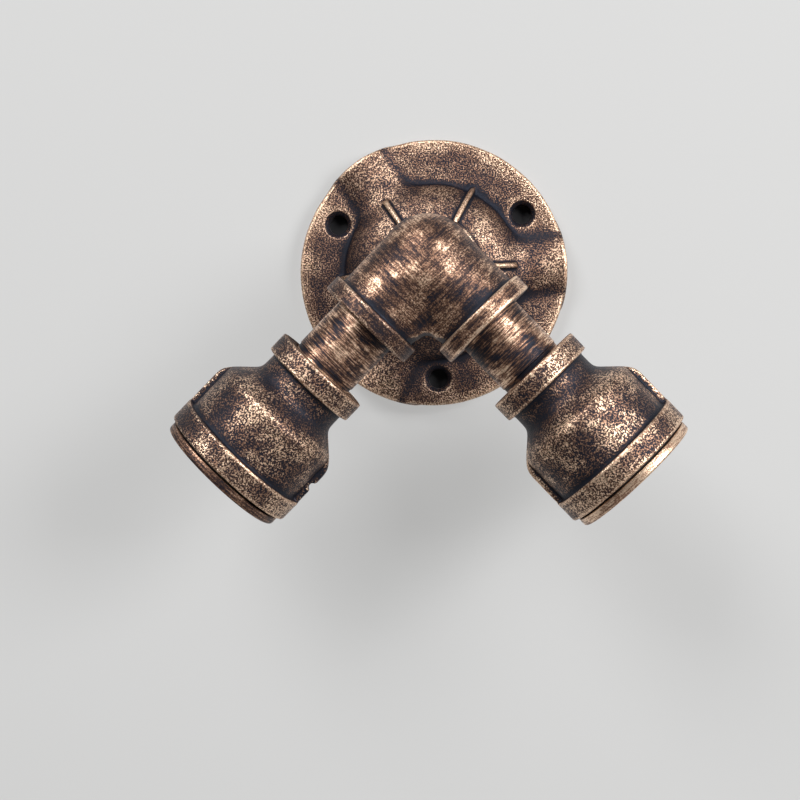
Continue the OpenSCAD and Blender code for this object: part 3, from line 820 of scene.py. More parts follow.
@contextmanager
def reworked(mesh: bpy.types.Mesh, merge_mm: float) -> Iterator[bmesh.types.BMesh]:
    """Open a mesh for changes with its doubled points merged, and write it back.

    Args:
        mesh: The mesh.
        merge_mm: How near two points are to be one.

    Yields:
        The editable mesh.
    """
    whole = bmesh.new()
    whole.from_mesh(mesh)
    bmesh.ops.remove_doubles(whole, verts=whole.verts, dist=merge_mm * MM)
    yield whole
    whole.to_mesh(mesh)
    whole.free()


def copied(node: str, name: str, material: bpy.types.Material) -> bpy.types.Object:
    """Copy a node's mesh into a new piece with a finish of its own.

    Args:
        node: The node.
        name: The new piece's name.
        material: Its finish.

    Returns:
        The piece's object.
    """
    mesh = frame["nodes"][node].data.copy()
    mesh.name = name
    mesh.materials.clear()
    mesh.materials.append(material)
    return linked(name, mesh)


def smoothed(mesh: bpy.types.Mesh, crease: float) -> None:
    """Shade a mesh smoothly, except at edges past an angle in degrees."""
    mesh.shade_smooth()
    mesh.set_sharp_from_angle(angle=math.radians(crease))


def lathed(node: str, making: str, outline: Callable[[float], Outline], turns: int, finish: Finish,
           place: Matrix) -> bpy.types.Object:
    """Turn a closed outline round the local z axis and let it take a node's place.

    Args:
        node: The node.
        making: How the piece is made, which ends its name.
        outline: Gives the outline's (radius, place) points for each angle in radians.
        turns: Number of angles.
        finish: The piece's finish.
        place: Matrix from its local frame to the lamp's.

    Returns:
        The piece's object.
    """
    points = []
    for angle in (math.tau * turn / turns for turn in range(turns)):
        points += [(r * math.cos(angle), r * math.sin(angle), z) for r, z in outline(angle)]
    count = len(points) // turns
    faces = []
    for turn in range(turns):
        here, there = turn * count, (turn + 1) % turns * count
        for i in range(count):
            j = (i + 1) % count
            faces.append((here + i, there + i, there + j, here + j))
    mesh = bpy.data.meshes.new(f"{node}_{making}")
    mesh.from_pydata(points, [], faces)
    mesh.transform(place)
    with reworked(mesh, 0.002) as whole:
        bmesh.ops.recalc_face_normals(whole, faces=whole.faces)
    smoothed(mesh, 32.0)
    mesh.materials.append(finish.material())
    piece = linked(mesh.name, mesh)
    if isinstance(finish, AntiqueBronze):
        measure_bulge(mesh, FINE_SPAN)
    return stand_for(piece, node)


def softened(node: str, finish: Finish, bevel_mm: float, segments: int = 2) -> bpy.types.Object:
    """Copy a small node, merge its triangles and round its edges.

    Args:
        node: The node that the copy stands for.
        finish: Its finish.
        bevel_mm: Width of the rounding.
        segments: Faces across a rounding.

    Returns:
        The piece's object, which has taken the node's place.
    """
    piece = copied(node, f"{node}_shape", finish.material())
    with reworked(piece.data, 0.001) as whole:
        bmesh.ops.dissolve_limit(whole, angle_limit=math.radians(1.0), verts=whole.verts,
                                 edges=whole.edges)
        folds = ((edge, edge.calc_face_angle(0.0)) for edge in whole.edges if edge.is_manifold)
        sharp = [edge for edge, angle in folds if angle > math.radians(38)]
        bmesh.ops.bevel(whole, geom=sharp, offset=bevel_mm * MM, segments=segments, profile=0.5,
                        affect="EDGES", clamp_overlap=True)
    smoothed(piece.data, 34.0)
    return stand_for(piece, node)


def cast_piece(net: ShapeNet, node: str, shape: Wire, finish: AntiqueBronze, place: Matrix,
               soot: Callable[[np.ndarray], np.ndarray]) -> bpy.types.Object:
    """Run a casting's tree, measure the bulges that its wear, patina and painted light follow, store its
    painted shade and let it take a node's place.

    Args:
        net: The tree.
        node: The node.
        shape: The geometry that the tree makes.
        finish: The casting's bronze.
        place: Matrix from its local frame to the lamp's.
        soot: Gives the painted shade for places in millimetres.

    Returns:
        The piece's object.
    """
    piece = net.build(f"{node}_casting", shape, finish.material(), place)
    measure_bulge(piece.data, CAST_SPANS)
    store_soot(piece.data, soot)
    return stand_for(piece, node)


@dataclass(frozen=True)
class Pipe:
    """Half-inch pipe: its outside, its cut thread and its bore."""

    radius: float = 10.65
    thread_radius: float = 10.4
    bore: float = 7.9
    scratch: float = 0.012

    def scratched(self, seed: int, start: float, end: float, steps: int) -> Outline:
        """Outline of a stretch of bare pipe with fine scratch lines round it.

        Args:
            seed: Number that fixes the scratches.
            start: Place of its first point.
            end: Place of its last point.
            steps: Number of steps between them.

        Returns:
            The outline's points.
        """
        depths = np.random.default_rng(seed).normal(0.0, self.scratch, steps + 1)
        return [(self.radius - 0.03 + float(depth), start + (end - start) * i / steps)
                for i, depth in enumerate(depths)]


@dataclass
class WallFlange:
    """Floor flange: a round plate with a hollow dome, a screwed hub, lobes, ribs and screw holes."""

    radius: float = 44.5
    thickness: float = 5.5
    plate_edge: float = 1.0
    back_edge: float = 0.3
    dome_foot: float = 29.3
    dome_top: float = 17.0
    dome_height: float = 14.8
    dome_power: float = 1.6
    dome_fillet: float = 1.5
    hollow_power: float = 2.0
    hollow_edge: float = 0.5
    hub_radius: float = 15.9
    hub_height: float = 22.0
    hub_edge: float = 0.9
    hub_fillet: float = 1.9
    hub_bore: float = 10.5
    bore_edge: float = 0.35
    lobe_radius: float = 18.656
    lobe_rise: float = 2.6
    lobe_start: float = 23.3
    lobe_reach: float = 44.9
    lobe_fillet: float = 5.5
    lobe_edges: tuple[float, float] = (1.2, 1.0)
    rib_half: float = 0.9
    rib_end: float = 28.2
    rib_rise: float = 1.6
    rib_foot: float = 31.6
    rib_edge: float = 0.9
    rib_fillet: float = 0.9
    first_rib: float = 4.0
    hole_ring: float = 35.6
    hole_radius: float = 3.2
    countersink: float = 4.55
    hole_edge: float = 0.4
    first_hole: float = 33.0
    wall: float = 3.2
    earth_boss: tuple[float, float, float] = (17.0, 4.2, 6.5)
    block_boss: tuple[float, float, float] = (-16.8, 3.5, 8.8)
    boss_edge: float = 0.4
    boss_fillet: float = 0.8
    lump_size: float = 7.0
    lump_height: float = 0.16
    voxel: float = 0.46
    # Offset and width of the painted shade beside each lobe, and width of the painted highlight on the
    # upper left lobe.
    valley: float = 9.3
    valley_width: float = 1.5
    rubbed_width: float = 7.0

    def build(self, finish: AntiqueBronze) -> list[bpy.types.Object]:
        """Grow the flange.

        Args:
            finish: Its bronze.

        Returns:
            The flange, as a list.
        """
        net = ShapeNet("wall_flange_form")
        x, y, z = net.split(net.place())
        r = net.hypot(x, y)
        u, t = net.folded(x, y, self.first_rib, 3)
        lobe = net.hypot(t, z + (self.lobe_radius - self.lobe_rise - self.thickness)) - self.lobe_radius
        rim_edge, inner_edge = self.lobe_edges
        lobe = lobe.within(r - self.lobe_reach, rim_edge).within(self.lobe_start - u, inner_edge)
        body = self._turned_body(net, r, z, lobe)
        _, t = net.folded(x, y, self.first_rib, 6)
        crown = self._oval(net, r, z, self.rib_foot, self.dome_height + self.rib_rise,
                           self.thickness - 1.0, self.dome_power)
        rib = net.hypot(t, (crown + self.rib_half).at_least(0.0)) - self.rib_half
        body = body.joined(rib.within(u - self.rib_end, self.rib_edge), self.rib_fillet)
        raised = (z - 1.0).at_least(0.0).at_most(2.0)
        body = (body + net.lumps(self.lump_size) * raised * self.lump_height).within(-z, self.back_edge)
        wide = self.radius + 2.0
        shape = net.skin(self._opened(net, body, x, y, z, r), (-wide, -wide, -1.0),
                         (wide, wide, self.hub_height + 1.5), self.voxel)
        return [cast_piece(net, "wall_flange", shape, finish, wall_place(), self._soot)]

    def _oval(self, net: ShapeNet, r: Wire, z: Wire, reach: float, top: float, foot: float,
              power: float) -> Wire:
        """Distance to a dome whose flat top has an oval shoulder.

        Args:
            net: The tree.
            r: Distance from the flange's axis.
            z: Height over the wall.
            reach: Radius at which the shoulder meets its foot.
            top: Height of the flat top.
            foot: Height of the shoulder's foot.
            power: 2 for an ellipse and less for a straighter shoulder.

        Returns:
            The distance.
        """
        rise = top - foot
        out = net.math(
            "POWER", (r - self.dome_top).at_least(0.0) * (1.0 / (reach - self.dome_top)), power)
        up = net.math("POWER", (z - foot).at_least(0.0) * (1.0 / rise), power)
        return (net.math("POWER", out + up, 1.0 / power) - 1.0) * rise

    def _turned_body(self, net: ShapeNet, r: Wire, z: Wire, lobe: Wire) -> Wire:
        """Distance to the plate, the dome with its lobes and the hub.

        Args:
            net: The tree.
            r: Distance from the flange's axis.
            z: Height over the wall.
            lobe: Distance to the lobes.

        Returns:
            The distance.
        """
        thickness = net.size("Thickness", self.thickness)
        plate = net.slab(r, z - (thickness - 2.0) * 0.5, self.radius, (thickness + 2.0) * 0.5,
                         self.plate_edge)
        dome = self._oval(net, r, z, self.dome_foot, self.dome_height, self.thickness, self.dome_power)
        half = self.hub_height * 0.5
        hub = net.slab(r, z - half, self.hub_radius, half, self.hub_edge)
        plate = plate.joined(dome.joined(lobe, self.lobe_fillet), self.dome_fillet)
        return plate.joined(hub, self.hub_fillet)

    def _opened(self, net: ShapeNet, body: Wire, x: Wire, y: Wire, z: Wire, r: Wire) -> Wire:
        """Take the hollow, the hub's bore and the screw holes out of a body.

        Args:
            net: The tree.
            body: Distance to the body.
            x: Coordinate to the right.
            y: Coordinate upwards.
            z: Height over the wall.
            r: Distance from the flange's axis.

        Returns:
            Distance to what is left.
        """
        reach, top = self.dome_foot - self.wall, self.dome_height - self.wall
        hollow = self._oval(net, r, z, reach, top, self.thickness - 2.0, self.hollow_power)
        for height, radius, start in (self.earth_boss, self.block_boss):
            boss = (net.hypot(x, y - height) - radius).within(start - z, self.boss_edge)
            hollow = hollow.cut_by(boss, self.boss_fillet)
        cone = (r - self.hub_bore - 1.0 + (self.hub_height - z)) * DIAGONAL
        bore = (r - self.hub_bore).joined(cone, 0.3)
        u, t = net.folded(x, y, self.first_hole, 3)
        out = net.hypot(u - self.hole_ring, t)
        sink_foot = self.thickness - (self.countersink - self.hole_radius)
        sink = (out - self.hole_radius - (z - sink_foot)) * DIAGONAL
        hole = (out - self.hole_radius).joined(sink.within(out - self.countersink, 0.3), 0.3)
        body = body.cut_by(hollow, self.hollow_edge).cut_by(bore, self.bore_edge)
        return body.cut_by(hole, self.hole_edge)

    def _soot(self, points: np.ndarray) -> np.ndarray:
        """Painted shadow below the elbow, painted shade on the dome's left, beside the lobes and in the
        screw holes, and a painted highlight on the upper left lobe.

        Args:
            points: Places in the lamp's frame.

        Returns:
            The painted shade, below 0 where the highlight on the upper left lobe is painted.
        """
        x, y, z = points.T
        # Painted shadow of the elbow on the lower flange, and painted shade on the dome's left side.
        elbow_shadow = rising(np.hypot(x * 0.9, z + 29.0), 19.0, 5.0) * 0.5
        dome_left_shade = np.exp(-((x + 25.0) ** 2 + (z - 7.0) ** 2) / 110.0) * 0.4
        soot = np.maximum(elbow_shadow, dome_left_shade)
        for turn in range(3):
            angle = math.radians(self.first_rib + 120.0 * turn)
            along = x * math.cos(angle) + z * math.sin(angle)
            beside = np.abs(z * math.cos(angle) - x * math.sin(angle))
            # Painted shade in the valleys beside each lobe.
            valley = stripe(beside, self.valley, self.valley_width) * rising(along, 24.0, 30.0)
            soot = np.maximum(soot, valley * 0.8)
            if turn == 1:
                # Painted highlight on the upper left lobe.
                soot -= stripe(beside, 0.0, self.rubbed_width) * rising(along, 25.0, 30.0) * 0.6
        # This painted light lies only on the front faces.
        soot *= y < 2.5 - self.thickness
        # Painted shade in the screw holes.
        for turn in range(3):
            angle = math.radians(self.first_hole + 120.0 * turn)
            away = np.hypot(x - self.hole_ring * math.cos(angle), z - self.hole_ring * math.sin(angle))
            soot = np.maximum(soot, (self.countersink + 0.15 - away) / 0.4)
        return soot


@dataclass
class Elbow:
    """Cast elbow with three collared ports, two for the arms and one for the wall."""

    port_length: float = 27.2
    body_radius: float = 14.0
    body_fillet: tuple[float, float] = (1.0, 6.0)
    body_fillet_span: tuple[float, float] = (3.0, -9.0)
    collar_radius: float = 16.3
    collar_width: float = 5.3
    collar_edge: float = 0.45
    collar_fillet: float = 0.9
    crotch_radius: float = 4.0
    web_half: float = 7.0
    web_fillet: float = 4.0
    web_round: float = 2.0
    web_edge: float = 0.6
    way_radius: float = 8.75
    female_radius: float = 10.45
    mouth_flare: float = 0.9
    bore_edge: float = 0.35
    thread_start: float = 15.7
    lump_size: float = 9.0
    lump_height: float = 0.35
    voxel: float = 0.42

    def ports(self) -> list[Vector]:
        """Directions of the three ports in the lamp's frame."""
        return [arm_axis(side) for side in Side] + [Vector((0.0, 1.0, 0.0))]

    def place(self) -> Matrix:
        """Matrix of the elbow's own frame, which starts at the elbow's centre."""
        centre = arm_place(Side.RIGHT).to_translation()
        return Matrix.Translation(centre) @ Matrix.Scale(MM, 4)

    def build(self, finish: AntiqueBronze) -> list[bpy.types.Object]:
        """Grow the elbow.

        Args:
            finish: Its bronze.

        Returns:
            The elbow, as a list.
        """
        net = ShapeNet("elbow_form")
        place = net.place()
        length = net.size("Port length", self.port_length)
        span = net.vector("LENGTH", place, key="Value")
        least, more = self.body_fillet
        fillet = least + more * net.split(place)[2].ramp(*self.body_fillet_span)
        arms, collars, bores = zip(*(
            self._port(net, place, span, length, port) for port in self.ports()))
        body = arms[0].joined(arms[1], fillet).joined(arms[2], fillet)
        for first, second in ((0, 1), (0, 2), (1, 2)):
            web = self._web(net, place, self.ports()[first], self.ports()[second])
            body = body.joined(web, self.web_fillet)
        lumps = net.lumps(self.lump_size)
        collar = collars[0].at_most(collars[1]).at_most(collars[2]) + lumps * 0.1
        body = (body + lumps * self.lump_height).joined(collar, self.collar_fillet)
        body = body.cut_by(bores[0].at_most(bores[1]).at_most(bores[2]), self.bore_edge)
        reach = math.hypot(self.port_length, self.collar_radius) + 1.0
        side = self.collar_radius + 1.0
        shape = net.skin(body, (-reach, -side, -reach), (reach, self.port_length + 1.0, side),
                         self.voxel)
        return [cast_piece(net, "elbow", shape, finish, self.place(), self._soot)]

    def _port(self, net: ShapeNet, place: Wire, span: Wire, length: Wire,
              port: Vector) -> tuple[Wire, Wire, Wire]:
        """Distances of one port.

        Args:
            net: The tree.
            place: Place from the elbow's centre.
            span: Its length.
            length: Length of a port.
            port: The port's direction.

        Returns:
            The distances to the port's arm, its collar and its bore.
        """
        a = net.along(place, tuple(port))
        out = net.math("SQRT", (span * span - a * a).at_least(0.0))
        round_end = net.hypot(out, a.at_most(0.0))
        arm = (round_end - self.body_radius).within(a - length + 1.0, 0.5)
        half = self.collar_width * 0.5
        collar = net.slab(out, a - length + half, self.collar_radius, half, self.collar_edge)
        thread = (out - self.female_radius).within(self.thread_start - a, 0.3)
        flare = out - self.female_radius - self.mouth_flare + (length - a)
        mouth = flare.within(self.thread_start - a, 0.3) * DIAGONAL
        return arm, collar, (round_end - self.way_radius).joined(thread, 0.3).joined(mouth, 0.2)

    def _web(self, net: ShapeNet, place: Wire, first: Vector, second: Vector) -> Wire:
        """Distance to the filled crotch between two ports.

        Args:
            net: The tree.
            place: Place from the elbow's centre.
            first: Direction of one port.
            second: Direction of the other.

        Returns:
            The distance.
        """
        middle = (first + second).normalized()
        across = first.cross(second).normalized()
        sine = math.sin(first.angle(second) * 0.5)
        depth = (self.body_radius + self.crotch_radius) / sine
        m, n, s = (net.along(place, tuple(axis)) for axis in (middle, across, across.cross(middle)))
        round_cut = self.crotch_radius - net.hypot(s, m - depth)
        end = m - (depth - self.crotch_radius * sine)
        web = (abs(n) - self.web_half).within(round_cut, self.web_round).within(end, self.web_edge)
        web = web.within(abs(s) - self.crotch_radius * 1.6, self.web_edge)
        return web.within(4.0 - m, 0.2)

    def _soot(self, points: np.ndarray) -> np.ndarray:
        """Painted shade towards the wall and on the left collar, a darker patch on the right flank, and
        darker creases before the collars, partly patina and partly painted shade.

        Args:
            points: Places in the lamp's frame.

        Returns:
            The soot's thickness.
        """
        local = points - np.array(self.place().to_translation()) / MM
        x, y, z = local.T
        flank = np.exp(-((x - 13.0) ** 2 + (z - 1.0) ** 2) / 45.0) * 0.4
        # Painted shade deepening towards the wall, where the elbow is shaded, and a darker patch on the
        # right flank.
        soot = np.maximum(rising(y, -5.0, 6.0) * 0.5, flank)
        foot = self.port_length - self.collar_width
        for side, port in zip(Side, self.ports()):
            along = local @ np.array(port)
            # Darker creases before the collars, partly patina and partly painted shade.
            soot = np.maximum(soot, stripe(along, foot, 2.4) * (along < foot) * 0.65)
            # Painted shade on the left collar.
            if side is Side.LEFT:
                soot = np.maximum(soot, (along > foot) * 0.45)
        return soot


@dataclass
class Arm:
    """One arm: its nipple and its bell reducer."""

    side: Side
    pipe: Pipe = Pipe()
    port_length: float = 27.2
    grip: float = 10.5
    runout: float = 1.6
    reducer_start: float = 45.8
    collar_radius: float = 15.9
    collar_width: float = 6.5
    edge: float = 0.45
    collar_fillet: float = 0.9
    neck_radius: float = 13.8
    neck_fillet: float = 2.4
    cone_point: tuple[float, float] = (17.25, 61.6)
    cone_slope: float = 47.0
    bell_radius: float = 20.7
    shoulder: float = 1.8
    rib_shoulder: float = 3.2
    rib_rise: float = 1.9
    rib_half: float = 1.5
    rib_edge: float = 0.6
    rib_fillet: float = 0.9
    notch: float = 73.8
    notch_radius: float = 1.3
    notch_edge: float = 0.7
    band_radius: float = 22.8
    band_start: float = 80.5
    band_fillet: float = 0.7
    mouth: float = 87.5
    mouth_radius: float = 18.0
    mouth_thread: float = 8.5
    cavity_radius: float = 17.5
    cavity_start: float = 64.2
    cavity_edge: float = 0.6
    bore_end: float = 58.3
    bore_edge: float = 0.3
    end_edge: float = 0.4
    lump_size: float = 8.0
    lump_height: float = 0.25
    voxel: float = 0.42

    def reducer(self, finish: AntiqueBronze) -> bpy.types.Object:
        """Grow the bell reducer.

        Args:
            finish: Its bronze.

        Returns:
            The reducer.
        """
        name = f"{self.side.word}_reducer"
        net = ShapeNet(f"{name}_form")
        x, y, a = net.split(net.place())
        out = net.hypot(x, y)
        start = net.size("Start", self.reducer_start)
        slope = math.radians(self.cone_slope)
        cone = (out - self.cone_point[0]) * math.cos(slope) - (a - self.cone_point[1]) * math.sin(slope)
        lumps = net.lumps(self.lump_size)
        bell = cone.within(out - self.bell_radius, self.shoulder)
        bell = bell.joined(out - self.neck_radius, self.neck_fillet)
        body = (bell + lumps * self.lump_height).within(start + 1.0 - a, self.end_edge)
        body = body.within(a - self.mouth + 1.0, self.end_edge)
        top = cone.within(out - self.bell_radius - self.rib_rise, self.rib_shoulder)
        rib = self._rib(net, top, x, y, a)
        half = self.collar_width * 0.5
        collar = net.slab(out, a - start - half, self.collar_radius, half, self.edge)
        half = (self.mouth - self.band_start) * 0.5
        band = net.slab(out, a - self.band_start - half, self.band_radius, half, self.edge)
        body = body.joined(rib + lumps * 0.2, self.rib_fillet)
        body = body.joined(collar + lumps * 0.1, self.collar_fillet)
        body = self._opened(body.joined(band + lumps * 0.1, self.band_fillet), out, a)
        reach = self.band_radius + 1.3
        shape = net.skin(body, (-reach, -reach, self.reducer_start - 1.0),
                         (reach, reach, self.mouth + 1.0), self.voxel)
        return cast_piece(net, name, shape, finish, arm_place(self.side), self._soot)

    def _rib(self, net: ShapeNet, top: Wire, x: Wire, y: Wire, a: Wire) -> Wire:
        """Distance to the two grip ribs, whose tops carry the flare on to their own height.

        Args:
            net: The tree.
            top: Distance to the surface that the ribs' tops follow.
            x: Coordinate on whose axis the ribs lie.
            y: Coordinate across the ribs.
            a: Place along the arm.

        Returns:
            The distance.
        """
        above = (top + self.rib_edge - 0.1).at_least(0.0)
        beside = (abs(y) - self.rib_half + self.rib_edge).at_least(0.0)
        rib = (net.hypot(above, beside) - self.rib_edge).within(a - self.band_start - 1.0, 0.3)
        if self.side is Side.LEFT:
            notch = net.hypot(x + self.bell_radius + self.rib_rise + 0.2, a - self.notch)
            notch = notch - self.notch_radius
            rib = rib.cut_by(notch, self.notch_edge)
        return rib

    def _opened(self, body: Wire, out: Wire, a: Wire) -> Wire:
        """Take the bores and the bell's hollow out of a body.

        Args:
            body: Distance to the body.
            out: Distance from the arm's axis.
            a: Place along the arm.

        Returns:
            Distance to what is left.
        """
        bore = out - self.pipe.thread_radius
        rise, run = self.cavity_start - self.bore_end, self.cavity_radius - self.pipe.radius + 0.2
        cone = (bore * rise - (a - self.bore_end) * run) * (1.0 / math.hypot(rise, run))
        cavity = cone.within(out - self.cavity_radius, self.cavity_edge)
        mouth = (out - self.mouth_radius).within(self.mouth - self.mouth_thread - a, 0.3)
        flare = (bore - 0.9 + (a - self.reducer_start)) * DIAGONAL
        flare = flare.within(a - self.reducer_start - 3.0, 0.2)
        hollow = bore.joined(cavity, 0.4).joined(mouth, 0.2).joined(flare, 0.2)
        return body.cut_by(hollow, self.bore_edge)

    def _soot(self, points: np.ndarray) -> np.ndarray:
        """Painted shade round the neck, in the corner before the band, and on the left arm's outer side
        and inner rib.

        Args:
            points: Places in the lamp's frame.

        Returns:
            The soot's thickness.
        """
        turn = np.array(arm_place(self.side).inverted()) * MM
        x, _, a = (points @ turn[:3, :3].T + turn[:3, 3] / MM).T
        # Painted shade in the concave neck and in the corner before the band.
        neck_shade = rising(a, 63.5, 59.5) * (a > self.reducer_start + self.collar_width) * 0.65
        band_corner_shade = rising(a, self.band_start - 4.0, self.band_start) * (a < self.band_start) * 0.5
        soot = np.maximum(neck_shade, band_corner_shade)
        # Painted shade on the left arm's outer side and under its inner rib.
        if self.side is Side.LEFT:
            soot = np.maximum(soot, rising(x, 2.0, 14.0) * 0.45)
            soot = np.maximum(soot, (-x - self.bell_radius - 0.3) / 0.5 * (a < self.band_start))
        return soot

    def nipple(self, finish: AntiqueBronze) -> bpy.types.Object:
        """Turn the nipple, with fine scratch lines and a bare thread at its outer end.

        Args:
            finish: Its bronze.

        Returns:
            The nipple.
        """
        bore, thread = self.pipe.bore, self.pipe.thread_radius
        start, end = self.port_length - self.grip, self.reducer_start + self.grip
        shown_end = self.reducer_start - self.runout
        points = [(bore, start), (thread, start), (thread, self.port_length)]
        points += self.pipe.scratched(11 + self.side.value, self.port_length + 0.05, shown_end, 90)
        points += [(thread - 0.05, shown_end + 0.25), (thread - 0.05, self.reducer_start)]
        points += [(thread, end), (bore + 0.5, end), (bore, end - 0.5)]
        name = f"{self.side.word}_arm_nipple"
        return lathed(name, "pipe", lambda angle: points, 120, finish, arm_place(self.side))


@dataclass
class EndRing:
    """End ring of one reducer with its fibre washer."""

    side: Side
    radius: float = 21.3
    bore: float = 15.6
    front: float = 91.0
    back: float = 80.5
    seat: float = 88.2
    skirt: float = 17.95
    thread_root: float = 17.4
    pitch: float = 1.5
    thread_steps: int = 64
    washer_bore: float = 18.0
    washer_radius: float = 20.05
    washer_back: float = 87.55
    washer_front: float = 88.15
    washer_edge: float = 0.12
    root_edge: float = 0.35
    front_edge: float = 0.75
    bore_round: float = 0.55

    def _ring_outline(self, angle: float) -> Outline:
        """Outline of the ring at an angle, with the thread's own turn in it.

        Args:
            angle: The angle in radians.

        Returns:
            The outline's points.
        """
        points = [(self.bore + 0.3, self.back)]
        thread_end = self.seat - 0.5
        for i in range(self.thread_steps + 1):
            a = self.back + (thread_end - self.back) * i / self.thread_steps
            wave = abs(((a / self.pitch - angle / math.tau) % 1.0) * 2.0 - 1.0)
            cut = min(1.0, max(0.0, (wave - 0.12) / 0.76))
            fade = max(0.0, min(1.0, (a - self.back) / 0.6, (thread_end - a) / 0.7))
            lead_in = 0.3 * max(0.0, 1 - (a - self.back) / 0.5)
            points.append((self.skirt - (self.skirt - self.thread_root) * cut * fade - lead_in, a))
        points += [(self.thread_root, self.seat - 0.45), (self.thread_root, self.seat)]
        edge = self.root_edge
        points += arc((self.radius - edge, self.seat + edge), edge, -90, 0, 3)
        edge = self.front_edge
        points += arc((self.radius - edge, self.front - edge), edge, 0, 90, 5)
        edge = self.bore_round
        points += arc((self.bore + edge, self.front - edge), edge, 90, 180, 4)
        return points + [(self.bore, self.back + 0.3)]

    def _washer_outline(self, angle: float) -> Outline:
        """Outline of the washer at an angle, a little uneven as punched fibre is.

        Args:
            angle: The angle in radians.

        Returns:
            The outline's points.
        """
        rim = self.washer_radius + (0.03 * math.sin(3.0 * angle) + 0.02 * math.sin(7.0 * angle + 1.0))
        inner, edge = self.washer_bore, self.washer_edge
        back, front = self.washer_back, self.washer_front
        return [(inner + edge, back), (rim - edge, back), (rim, back + edge), (rim, front - edge),
                (rim - edge, front), (inner + edge, front), (inner, front - edge), (inner, back + edge)]

    def build(self, bronze: AntiqueBronze, fibre: MouldedPlastic) -> list[bpy.types.Object]:
        """Turn the washer and the ring.

        Args:
            bronze: Finish of the ring.
            fibre: Finish of the washer.

        Returns:
            Both pieces.
        """
        word, place = self.side.word, arm_place(self.side)
        return [lathed(f"{word}_ring_washer", "punched", self._washer_outline, 96, fibre, place),
                lathed(f"{word}_end_ring", "turned", self._ring_outline, 144, bronze, place)]


@dataclass
class LampHolder:
    """Lamp holder of one arm: porcelain body, screw shell, centre contact, straps and screws."""

    side: Side
    seat: float = 68.9
    top: float = 85.3
    root_radius: float = 13.3
    sheet: float = 0.4
    foot: float = 2.0
    pitch: float = 3.63
    thread_depth: float = 0.95
    thread_steps: int = 72
    lip: float = 0.8

    def _radius(self, a: float, angle: float) -> float:
        """Inner radius of the shell at a place along it.

        Args:
            a: The place.
            angle: The angle in radians.

        Returns:
            The radius, with the rolled thread in it.
        """
        fade = min(1.0, max(0.0, (a - self.seat - 1.2) / 1.2), max(0.0, self.top - self.lip - a))
        wave = 0.5 - 0.5 * math.cos(math.tau * (a / self.pitch - angle / math.tau))
        return self.root_radius - self.thread_depth * wave * fade

    def _shell_outline(self, angle: float) -> Outline:
        """Outline of the screw shell at an angle.

        Args:
            angle: The angle in radians.

        Returns:
            The outline's points.
        """
        low, steps = self.seat + self.sheet, self.thread_steps
        wide, narrow = self.root_radius + self.sheet, self.root_radius - self.foot
        places = [low + (self.top - low) * i / steps for i in range(steps + 1)]
        inner = [(self._radius(a, angle), a) for a in places]
        outer = [(min(r + self.sheet, wide), a) for r, a in reversed(inner)]
        return inner + outer + [(wide, self.seat), (narrow, self.seat), (narrow, low)]

    def build(self, porcelain: GlazedPorcelain, brass: WornMetal,
              steel: WornMetal) -> list[bpy.types.Object]:
        """Make the holder.

        Args:
            porcelain: Finish of the body.
            brass: Finish of the shell, straps and contact.
            steel: Finish of the terminal screws.

        Returns:
            Its pieces.
        """
        word = self.side.word
        body = softened(f"{word}_porcelain", porcelain, 0.25, 3)
        shell = lathed(f"{word}_screw_shell", "rolled", self._shell_outline, 120, brass,
                       arm_place(self.side))
        small = (("centre_tongue", brass, 0.12), ("centre_strap", brass, 0.1),
                 ("shell_strap", brass, 0.1), ("strap_screws", steel, 0.15))
        return [body, shell] + [
            softened(f"{word}_{name}", finish, bevel) for name, finish, bevel in small]


